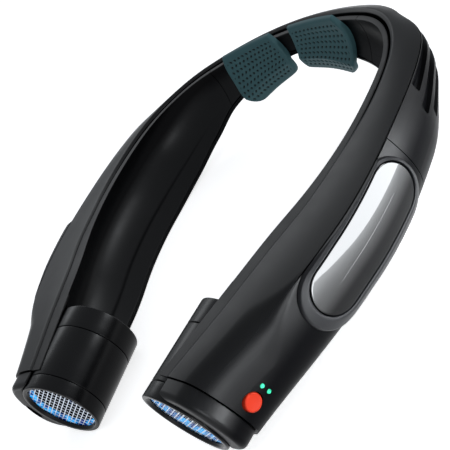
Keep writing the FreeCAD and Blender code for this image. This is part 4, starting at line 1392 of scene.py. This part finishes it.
@dataclass(frozen=True)
class AccentPanel:
    """Glossy stadium panel and its raised bezel on the outer side of an arm."""

    at: float = 163.4
    length: float = 54.7
    height: float = 19.0
    tilt: float = -3.4
    middle: float = -11.4
    thickness: float = 1.2
    gap: float = 0.3
    rim_round: float = 0.5
    bezel_width: float = 3.0
    bezel_ahead: float = 1.7
    bezel_drop: float = 1.0
    bezel_rise: float = 2.0
    bezel_slope: float = 0.5
    around: int = 240
    rings: int = 14
    spine_gap: float = 0.05
    first_pace: float = 1.15
    pace: float = 1.1
    passes: int = 9

    def stadium(self, grow: Array, turn: Array) -> tuple[Array, Array]:
        """Stadium outline: two half circles joined by straights, run at an even pace by its own length.

        Args:
            grow: Distance outside the panel's outline.
            turn: Progress round the outline, from 0 to 1.

        Returns:
            Distances along the arm and up, from the panel's middle.
        """
        radius = self.height / 2.0
        flat = self.length - self.height
        bend = math.pi * radius
        run = (turn % 1.0) * 2.0 * (flat + bend)
        first = np.clip(run - flat, 0.0, bend) / radius
        second = np.clip(run - 2.0 * flat - bend, 0.0, bend) / radius
        along = -flat / 2.0 + np.clip(run, 0.0, flat) - np.clip(run - flat - bend, 0.0, flat)
        angle = math.pi / 2.0 - first - second
        round_part = np.where((first > 0.0) & (first < math.pi) | (second > 0.0), 1.0, 0.0)
        return along + (radius + grow) * np.cos(angle) * round_part, (radius + grow) * np.sin(angle)

    def on_side(self, along: Array, up: Array, lift: Array, side: Side) -> Array:
        """Points over the outer side that project to places in the panel's tilted plane.

        The length along the collar is found by repeated correction until its point lies the wanted
        distance along the panel's plane.

        Args:
            along: Distances along the plane, forward.
            up: Heights from the panel's middle.
            lift: Distances off the side.
            side: Arm.

        Returns:
            Points in millimetres.
        """
        x, y, heading = LINE.at(np.array(self.at))
        origin = np.array([x, LINE.nape_y + y])
        forward = np.array([np.cos(heading), -np.sin(heading)])
        lean = math.radians(self.tilt)
        level = along * math.cos(lean) - up * math.sin(lean)
        high = self.middle + along * math.sin(lean) + up * math.cos(lean)
        s = self.at + level / self.first_pace
        for _ in range(self.passes):
            drop = np.maximum(SECTION.size("edge", s) - high, 0.02)
            section = SECTION.side(s, SECTION.below_edge(s, drop), lift)
            points = LINE.place(s, section[..., 0], section[..., 1])
            s = s + (level - (points[..., :2] - origin) @ forward) / self.pace
        points[..., 0] *= side.value
        return points

    def bezel(self, side: Side) -> Piece:
        """Raised frame, wider ahead and below: a closed profile carried round the outline.

        The profile is an outer wall, a crown that slopes down outwards, an inner wall and a foot. Its outer
        points move ahead and down by their share of the width.

        Args:
            side: Arm.

        Returns:
            The piece.
        """
        turn = np.linspace(0.0, 1.0, self.around, endpoint=False)[:, None]
        wide, rise = self.bezel_width, self.bezel_rise
        corners = ((wide + 0.3, 0.3), (wide - 0.3, rise - self.bezel_slope), (0.5, rise),
                   (0.04, rise - 0.45), (0.04, 0.3))
        profile = rounded_loop(polygon_runs(corners), (0.1, 0.3, 0.25, 0.2, 0.1), (5, 8, 3, 3, 4), 4)[0]
        grow, lift = profile[None, :, 0], profile[None, :, 1]
        share = np.clip(grow / wide, 0.0, 1.0)
        along, up = self.stadium(grow, turn)
        points = self.on_side(along + self.bezel_ahead * share, up - self.bezel_drop * share,
                              np.broadcast_to(lift, along.shape), side)
        return ring_piece(side.label + "_bezel_frame", points)

    def panel(self, side: Side) -> Piece:
        """Glossy panel: rings of the stadium from its foot over a quarter-round rim to its spine.

        Args:
            side: Arm.

        Returns:
            The piece.
        """
        turn = np.linspace(0.0, 1.0, self.around, endpoint=False)[:, None]
        rim = self.rim_round
        spine = self.height / 2.0 - self.gap - self.spine_gap
        inner = np.linspace(rim + 0.4, spine, self.rings)
        shrink = np.concatenate([[0.0], rim * (1.0 - np.cos(QUARTER_TURN)), inner])
        top = self.gap + self.thickness
        edge = top - rim * (1.0 - np.sin(QUARTER_TURN))
        lift = np.concatenate([[self.gap], edge, np.full(self.rings, top)])
        along, up = self.stadium(-self.gap - shrink[None, :], turn)
        points = self.on_side(along, up, np.broadcast_to(lift[None, :], along.shape), side)
        rows, columns = points.shape[:2]
        faces = grid_quads(rows, columns, True, False).tolist()
        ring = np.arange(rows) * columns
        faces += [(ring + columns - 1).tolist(), ring.tolist()]
        return make_piece(side.label + "_accent_panel_glass", points.reshape(-1, 3), faces)

    def build(self, finishes: Finishes) -> None:
        """Makes and dresses both panels and bezels.

        Args:
            finishes: Finishes of the part.
        """
        for side in Side:
            settle(self.bezel(side), finishes.bezel, "bezel_plastic", side.label + "_bezel")
            settle(self.panel(side), finishes.panel, "panel_gloss", side.label + "_accent_panel")


@dataclass(frozen=True)
class FanPod:
    """Fan pod on its own axis: outward, up and forward from the middle of the intake mesh."""

    side: Side
    x: float = 42.64381
    y: float = -92.64606
    z: float = 16.8
    toe: float = 7.6
    radius: float = 16.8
    bore: float = 15.4
    length: float = 38.0
    outlet: float = 10.0
    intake: float = 5.0
    lip: float = 1.2
    opening: float = 14.3
    seat: float = 16.0
    seam: float = 0.3
    turns: int = 128
    mesh_pitch: float = 1.75
    mesh_long_pitch: float = 3.0
    mesh_turn: float = math.radians(30.0)
    mesh_wire: float = 0.19
    mesh_thin: float = 0.05
    mesh_level: float = -0.3
    mesh_margin: float = 0.35
    wire_steps: int = 57
    wire_sides: int = 6
    tongue_gap: float = 0.1
    tongue_reach: float = 0.3
    light_wall: float = 2.4
    light_span: Pair = (-2.4, -0.9)
    outlet_chamfer: Pair = (0.7, 1.4)
    intake_chamfer: float = 0.9
    intake_edge: float = 0.1

    def place(self, out: Array, up: Array, forward: Array) -> Array:
        """Points of the part from pod axes.

        Args:
            out: Distances outward from the pod's axis.
            up: Heights over it.
            forward: Distances ahead of the mesh.

        Returns:
            Points in millimetres.
        """
        out, up, forward = np.broadcast_arrays(out, up, forward)
        toe = math.radians(self.toe)
        x = self.x + out * math.cos(toe) - forward * math.sin(toe)
        y = self.y - out * math.sin(toe) - forward * math.cos(toe)
        return np.stack([self.side.value * x, y, self.z + up], axis=-1)

    def lathe(self, name: str, corners: Sequence[Pair], *rounds: float) -> Piece:
        """Ring round the axis: a closed profile with rounded corners turned through a full circle.

        Args:
            name: Piece name.
            corners: Radius and forward distance of each corner.
            rounds: Rounding of each corner.

        Returns:
            The piece.
        """
        profile = rounded_loop(polygon_runs(corners), rounds, [4] * len(corners), 4)[0]
        angle = circle(self.turns)[:, None]
        radius, forward = profile[None, :, 0], profile[None, :, 1]
        loops = self.place(radius * np.cos(angle), radius * np.sin(angle), forward)
        return ring_piece(self.side.label + name, loops)

    def wire_rows(self, pitch: float, crossing: float) -> tuple[Array, Array, Array]:
        """Straight rows of flat wire that pass over and under the crossing wires as a sine wave.

        Args:
            pitch: Distance between the rows.
            crossing: Distance between the wires that cross them.

        Returns:
            Place along the row, place across the rows and level, each as rows by steps by points around.
        """
        limit = self.seat - self.mesh_margin
        count = int(limit / pitch)
        rows = np.arange(-count, count + 1)[:, None, None]
        around = circle(self.wire_sides)[None, None, :]
        reach = np.sqrt(np.maximum(limit ** 2 - (rows * pitch) ** 2, 0.04))
        run = np.linspace(-1.0, 1.0, self.wire_steps)[None, :, None] * reach
        wave = self.mesh_thin * np.cos(math.pi * (run / crossing + rows))
        cross = rows * pitch + self.mesh_wire * np.cos(around)
        level = self.mesh_level + wave + self.mesh_thin * np.sin(around)
        return tuple(np.broadcast_arrays(run, cross, level))

    def turned(self, first: Array, second: Array, level: Array) -> Array:
        """Places points of the mesh, which is turned about the pod's axis."""
        turn = self.side.value * self.mesh_turn
        across = math.cos(turn) * first - math.sin(turn) * second
        up = math.sin(turn) * first + math.cos(turn) * second
        return self.place(across, up, level)

    def wires(self) -> Piece:
        """Woven intake mesh: two sets of wire rows at right angles.

        Returns:
            The piece.
        """
        run, cross, level = self.wire_rows(self.mesh_pitch, self.mesh_long_pitch)
        first = self.turned(run, cross, level)
        run, cross, level = self.wire_rows(self.mesh_long_pitch, self.mesh_pitch)
        second = self.turned(cross, run, 2.0 * self.mesh_level - level)
        tubes = np.concatenate([first, second])
        total, length, ring = tubes.shape[:3]
        starts = np.arange(total) * length * ring
        quads = (starts[:, None, None] + grid_quads(length, ring, False, True)[None]).reshape(-1, 4)
        caps = np.concatenate([starts, starts + (length - 1) * ring])[:, None] + np.arange(ring)[None, :]
        faces = quads.tolist() + caps.tolist()
        return make_piece(self.side.label + "_intake_wires", tubes.reshape(-1, 3), faces, 60.0)

    def build(self, finishes: Finishes) -> None:
        """Makes and dresses the pod's rings, mesh and light.

        Args:
            finishes: Finishes of the part.
        """
        side = self.side.label
        rear, seam_at, front = -self.length, -self.length + self.outlet, -self.intake
        half = self.seam / 2.0
        bore, radius, opening = self.bore, self.radius, self.opening
        tongue, reach = self.seat - self.tongue_gap, front + self.tongue_reach
        barrel = self.lathe("_pod_barrel_ring", (
            (bore, seam_at + half), (radius, seam_at + half), (radius, front - self.seam),
            (tongue, front - self.seam), (tongue, reach), (bore, reach)), 0.2, 0.3, 0.3, 0.05, 0.05, 0.05)
        settle(barrel, finishes.pod, "pod_plastic", side + "_pod_barrel")
        wide, deep = self.outlet_chamfer
        outlet = self.lathe("_outlet_rim", (
            (bore, seam_at - half), (radius, seam_at - half), (radius, rear), (bore + wide, rear),
            (bore, rear + deep)), 0.2, 0.3, 0.5, 0.25, 0.3)
        settle(outlet, finishes.pod, "pod_plastic", side + "_outlet_ring")
        intake = self.lathe("_intake_rim", (
            (self.seat, front), (radius, front), (radius, self.lip),
            (opening + self.intake_chamfer, self.lip), (opening, self.intake_edge), (opening, 0.0),
            (self.seat, 0.0)), 0.15, 0.3, 0.6, 0.3, 0.05, 0.05, 0.1)
        settle(intake, finishes.pod, "pod_plastic", side + "_intake_ring")
        inner = self.seat - self.light_wall
        low, high = self.light_span
        light = self.lathe("_light_band", ((inner, low), (tongue, low), (tongue, high), (inner, high)),
                           0.3, 0.2, 0.2, 0.5)
        settle(light, finishes.blue, "light_blue", side + "_light_ring")
        settle(self.wires(), finishes.mesh, "mesh_metal", side + "_intake_mesh")


@dataclass(frozen=True)
class EndCap:
    """Crescent that closes an arm's end round the intake ring, with the charging slot on the right arm."""

    pod: FanPod
    rear: float = -6.7
    front: float = 0.35
    step: float = 0.7
    inset: float = 2.1
    axis_drop: float = 17.2
    room: float = 17.15
    nose: float = 2.25
    chamfer: float = 0.25
    land: float = 0.4
    margin: float = 0.5
    slot_out: float = 21.6
    slot_width: float = 9.44
    slot_height: float = 3.76

    def outline(self, step: float) -> tuple[Array, Array]:
        """Crescent in pod axes: the arm's end section drawn in along its normals, and the pod's circle.

        Args:
            step: Distance inside the end section.

        Returns:
            Points of the section that lie outside the circle, and points of the circle back to their start.
        """
        s = np.array([CASING.length])
        low = SECTION.side(s[:, None], np.linspace(CASING.split, 1.0, 40)[None, :])
        points = np.concatenate([*CASING.edge_runs(s), low], axis=1)[0]
        run = np.gradient(points, axis=0)
        run = run / np.linalg.norm(run, axis=1, keepdims=True)
        inward = np.stack([run[:, 1], -run[:, 0]], axis=1)
        points = points + step * inward + np.array([self.inset, self.axis_drop])
        keep = points[np.linalg.norm(points, axis=1) > self.room + self.margin]
        ends = np.arctan2(keep[[-1, 0], 1], keep[[-1, 0], 0])
        angle = np.linspace(ends[0], ends[1], 90)
        return keep, self.room * np.stack([np.cos(angle), np.sin(angle)], axis=1)

    def cap(self) -> Piece:
        """Crescent block whose outlines are drawn in by a quarter circle towards the front.

        Returns:
            The piece.
        """
        drawn = self.nose * (1.0 - np.cos(QUARTER_TURN))
        steps = self.step + np.concatenate([[self.chamfer, 0.0, 0.0], drawn])
        first = [self.rear, self.rear + self.chamfer, self.front - self.nose - self.land]
        levels = np.concatenate([first, self.front - self.nose * (1.0 - np.sin(QUARTER_TURN))])
        loops = []
        for step, level in zip(steps, levels):
            outer, inner = (points[None] for points in self.outline(float(step)))
            runs = [outer, line_run(outer[:, -1], inner[:, 0]), inner, line_run(inner[:, -1], outer[:, 0])]
            loop = rounded_loop(runs, (0.15, 0.15, 0.1, 0.1), (80, 2, 50, 2), 3)[0]
            loops.append(self.pod.place(loop[:, 0], loop[:, 1], np.full(len(loop), level)))
        return sweep_piece(self.pod.side.label + "_end_cap_crescent", np.stack(loops))

    def slot_cutter(self) -> Piece:
        """Upright stadium bar through the cap, for the charging slot.

        Returns:
            The bar.
        """
        angle = circle(48)
        radius = self.slot_height / 2.0
        flat = self.slot_width / 2.0 - radius
        out = self.slot_out + radius * np.cos(angle)
        up = radius * np.sin(angle) + flat * np.sign(np.sin(angle) + 1e-9)
        levels = np.array([[self.rear - 2.0], [self.front + 2.0]])
        return sweep_piece("slot_bar", self.pod.place(out[None, :], up[None, :], levels))

    def build(self, finishes: Finishes) -> None:
        """Makes and dresses the cap.

        Args:
            finishes: Finishes of the part.
        """
        piece = self.cap()
        if self.pod.side is Side.RIGHT:
            cut_piece(piece, [self.slot_cutter()], 35.0)
        settle(piece, finishes.shell, "shell_plastic", self.pod.side.label + "_end_cap")


@dataclass(frozen=True)
class Controls:
    """Round push button and two indicator lights on the left arm."""

    at: float = 231.0
    around: float = 0.281
    radius: float = 3.25
    flange: float = 4.2
    gap: float = 0.2
    rise: float = 0.7
    depth: float = 4.3
    dish: float = 0.25
    edge_round: float = 0.55
    stem: float = 1.6
    stem_drop: float = 0.8
    flange_thickness: float = 0.7
    bar_span: Pair = (-6.0, 3.0)
    light_at: float = 224.35
    light_around: tuple[float, ...] = (0.247, 0.321)
    light_radius: float = 0.75
    light_gap: float = 0.1
    light_rise: float = 0.3
    light_drop: float = 4.5
    light_bar_span: Pair = (-4.0, 2.0)

    def axes(self) -> tuple[Array, Array, Array, Array]:
        """Surface point under the button, and directions back, across and outward.

        Returns:
            Origin in millimetres and three unit directions.
        """
        s = np.array([self.at])
        here = SECTION.side(s, np.array([self.around]))
        out = SECTION.side(s, np.array([self.around]), 1.0)
        origin = LINE.place(s, here[:, 0], here[:, 1])[0]
        outward = LINE.place(s, out[:, 0], out[:, 1])[0] - origin
        level = np.array([outward[0], outward[1], 0.0]) / np.hypot(outward[0], outward[1])
        back = np.array([-level[1], level[0], 0.0])
        return origin, back, np.cross(outward, back), outward

    def turned(self, name: str, profile: Array, centre: Pair, turns: int = 64) -> Piece:
        """Round piece on the outward direction: an open profile from axis to axis turned through a circle.

        Args:
            name: Piece name.
            profile: Radius and rise of each point, from the bottom's middle to the top's middle.
            centre: Place of its axis, back and across.
            turns: Steps round.

        Returns:
            The piece.
        """
        origin, back, across, outward = self.axes()
        angle = circle(turns)[:, None, None]
        radius, rise = profile[None, :, :1], profile[None, :, 1:]
        x, y = centre[0] + radius * np.cos(angle), centre[1] + radius * np.sin(angle)
        points = origin + back * x + across * y + outward * rise
        rows, columns = points.shape[:2]
        return make_piece(name, points.reshape(-1, 3), grid_quads(rows, columns, True, False).tolist())

    def light_places(self) -> list[Triple]:
        """Back, across and outward places of the lights from the button.

        Returns:
            One triple for each light.
        """
        origin, back, across, outward = self.axes()
        s = np.full(len(self.light_around), self.light_at)
        here = SECTION.side(s, np.array(self.light_around))
        step = LINE.place(s, here[:, 0], here[:, 1]) - origin
        return [tuple(float(row @ axis) for axis in (back, across, outward)) for row in step]

    def cutters(self) -> list[Piece]:
        """Bars for the button's hole and the lights' holes.

        Returns:
            Closed bars.
        """
        def bar(name: str, radius: float, span: Array, *centre: float) -> Piece:
            """Plain round bar."""
            low, high = span
            profile = np.array([[0.0, low], [radius, low], [radius, high], [0.0, high]])
            return self.turned(name, profile, centre)
        bars = [bar("button_bar", self.radius + self.gap, np.array(self.bar_span), 0.0, 0.0)]
        radius, span = self.light_radius + self.light_gap, np.array(self.light_bar_span)
        bars += [bar("light_bar_%d" % i, radius, rise + span, x, y)
                 for i, (x, y, rise) in enumerate(self.light_places())]
        return bars

    def build(self, finishes: Finishes) -> None:
        """Makes and dresses the button and the lights.

        Args:
            finishes: Finishes of the part.
        """
        cos, sin = np.cos(QUARTER_TURN), np.sin(QUARTER_TURN)
        bend, flat = self.edge_round, self.radius - self.edge_round
        edge = np.stack([flat + bend * cos, self.rise - bend + bend * sin], axis=1)
        dish = np.linspace(0.9, 0.0, 10)
        face = np.stack([flat * dish, self.rise - self.dish * (1.0 - dish ** 2)], axis=1)
        heel, brow = -self.depth - self.stem_drop, -self.depth + self.flange_thickness
        low = np.array([[0.0, heel], [self.stem, heel], [self.stem, -self.depth], [self.flange, -self.depth],
                        [self.flange, brow], [self.radius, brow]])
        button = self.turned("power_button_cap", np.concatenate([low, edge, face]), (0.0, 0.0))
        settle(button, finishes.button, "button_red", "power_button", body=Ride.BUTTON)
        dome = np.stack([self.light_radius * cos, self.light_rise * (sin - 0.5)], axis=1)
        stem = np.array([[0.0, -self.light_drop], [self.light_radius, -self.light_drop],
                         [self.light_radius, -0.2]])
        for i, (x, y, rise) in enumerate(self.light_places()):
            profile = np.concatenate([stem, dome]) + np.array([0.0, rise])
            light = self.turned("indicator_light_%d" % (i + 1), profile, (x, y), 32)
            settle(light, finishes.green, "light_green", "indicator_lights")


CONTROLS = Controls()


def dress_nodes(finishes: Finishes) -> None:
    """Gives the nodes that stay as they are their finishes.

    Args:
        finishes: Finishes of the part.
    """
    kept = {"fan_wheel": finishes.wheel, "motor_shaft": finishes.steel, "shaft_bush": finishes.brass,
            "motor_can": finishes.can, "motor_mount": finishes.wheel, "battery_cell": finishes.cell}
    looks = {side.label + "_" + name: material for side in Side for name, material in kept.items()}
    looks |= {"tact_switch": finishes.switch, "control_board": finishes.board,
              "charge_board": finishes.board, "usb_socket": finishes.socket,
              "wire_harness": finishes.wire, "motor_screws": finishes.steel}
    for name, material in looks.items():
        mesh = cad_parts[name].data
        mesh.materials.clear()
        mesh.materials.append(material)
        LOG.info("%s keeps its shape and takes %s", name, material.name)


@dataclass(frozen=True)
class Studio:
    """Floor, lamps, world and camera."""

    target: Triple = (0.0, -12.66, 24.8)
    azimuth: float = 60.88
    elevation: float = 26.56
    roll: float = -47.72
    distance: float = 382.84
    pan: Pair = (10.25, 0.70)
    lens: float = 76.86
    sensor: float = 36.0
    clip: Pair = (0.01, 20.0)
    world: float = 0.4
    sky: tuple[float, ...] = (0.91, 0.95, 1.0, 1.0)
    lamp_colour: Triple = (0.94, 0.97, 1.0)
    floor_half: float = 2.5
    floor_steps: int = 9
    floor_drop: float = 0.0002
    floor_glow: float = 0.7

    def camera(self) -> None:
        """Sets the camera, which looks along the view line, turned by the roll and panned in its plane."""
        a, e, r = (math.radians(v) for v in (self.azimuth, self.elevation, self.roll))
        back = Vector((math.sin(a) * math.cos(e), -math.cos(a) * math.cos(e), math.sin(e)))
        right = Vector((math.cos(a), math.sin(a), 0.0))
        up = back.cross(right)
        across = right * math.cos(r) + up * math.sin(r)
        above = up * math.cos(r) - right * math.sin(r)
        place = Vector(self.target) + back * self.distance + across * self.pan[0] + above * self.pan[1]
        data = bpy.data.cameras.new("view")
        data.lens = self.lens
        data.sensor_width = self.sensor
        data.clip_start, data.clip_end = self.clip
        camera = bpy.data.objects.new("view", data)
        turn = Matrix((across, above, back)).transposed().to_4x4()
        camera.matrix_world = Matrix.Translation(place * MM) @ turn
        bpy.context.scene.collection.objects.link(camera)
        bpy.context.scene.camera = camera

    def lamp(self, name: str, place: Triple, aim: Triple, size: Pair, radiance: float) -> None:
        """Adds a rectangular soft lamp that the camera doesn't see.

        Args:
            name: Lamp name.
            place: Its middle in metres.
            aim: Point that it faces.
            size: Width and height in metres.
            radiance: Brightness of its face, where 1 is a white surface in plain light.
        """
        data = bpy.data.lights.new(name, "AREA")
        data.shape = "RECTANGLE"
        data.size, data.size_y = size
        data.energy = radiance * math.pi * size[0] * size[1]
        data.color = self.lamp_colour
        lamp = bpy.data.objects.new(name, data)
        lamp.location = place
        lamp.rotation_euler = (Vector(aim) - Vector(place)).to_track_quat("-Z", "Y").to_euler()
        lamp.visible_camera = False
        bpy.context.scene.collection.objects.link(lamp)

    def floor(self) -> None:
        """Adds the pale floor, whose colour drifts a little; eye and mirrors see it a shade lighter."""
        count = self.floor_steps
        steps = np.linspace(-self.floor_half, self.floor_half, count)
        grid = np.stack(np.meshgrid(steps, steps, -self.floor_drop, indexing="ij"), axis=-1).reshape(-1, 3)
        mesh = bpy.data.meshes.new("floor")
        mesh.from_pydata(grid.tolist(), [], grid_quads(count, count, False, False).tolist())
        floor = bpy.data.objects.new("floor", mesh)
        bpy.context.scene.collection.objects.link(floor)
        material, build, shader = start_material("pale_floor")
        drift = build.noise(build.place(), 6.0, 2.0)
        tone = build.blend(drift, (0.93, 0.94, 0.95, 1.0), (0.96, 0.96, 0.96, 1.0))
        rays = build.add("ShaderNodeLightPath").outputs
        seen = build.maths("MAXIMUM", rays["Is Camera Ray"], rays["Is Glossy Ray"])
        seen = build.maths("MAXIMUM", seen, rays["Is Transmission Ray"])
        build.feed(shader, {"Base Color": tone, "Roughness": 0.9, "Specular IOR Level": 0.1,
                            "Emission Color": (1.0, 1.0, 1.0, 1.0),
                            "Emission Strength": build.maths("MULTIPLY", seen, self.floor_glow)})
        mesh.materials.append(material)

    def build(self) -> None:
        """Makes the floor, the lights, the world and the camera."""
        self.floor()
        world = bpy.data.worlds.new("studio")
        world.use_nodes = True
        build = Nodes(world.node_tree)
        sky = build.add("ShaderNodeBackground")
        seen = build.add("ShaderNodeLightPath").outputs["Is Camera Ray"]
        strength = build.maths("MULTIPLY_ADD", seen, 1.0 - self.world, self.world)
        build.feed(sky, {"Color": self.sky, "Strength": strength})
        build.link(sky.outputs[0], build.add("ShaderNodeOutputWorld").inputs["Surface"])
        bpy.context.scene.world = world
        self.lamp("back_sheen", (-0.68, 0.40, 0.52), (0.0, -0.01, 0.03), (0.55, 0.26), 1.7)
        self.lamp("front_softbox", (0.57, -0.44, 0.20), (0.07, -0.06, 0.02), (0.3, 0.2), 5.0)
        self.lamp("barrel_band", (0.47, 0.50, 0.30), (0.0, -0.03, 0.02), (0.16, 0.2), 13.0)
        self.lamp("panel_strip", (0.17, -0.025, 0.0115), (0.095, -0.025, 0.02), (0.17, 0.034), 13.0)
        bpy.context.scene.view_settings.view_transform = "Standard"
        self.camera()


def main() -> None:
    """Builds the neck fan and its studio."""
    logging.basicConfig(level=logging.INFO, format="%(name)s: %(message)s")
    finishes = Finishes()
    CASING.build(finishes)
    Liners().build(finishes)
    NeckPads().build(finishes)
    AccentPanel().build(finishes)
    for side in Side:
        pod = FanPod(side)
        pod.build(finishes)
        EndCap(pod).build(finishes)
    CONTROLS.build(finishes)
    dress_nodes(finishes)
    Studio().build()


if __name__ == "__main__":
    main()
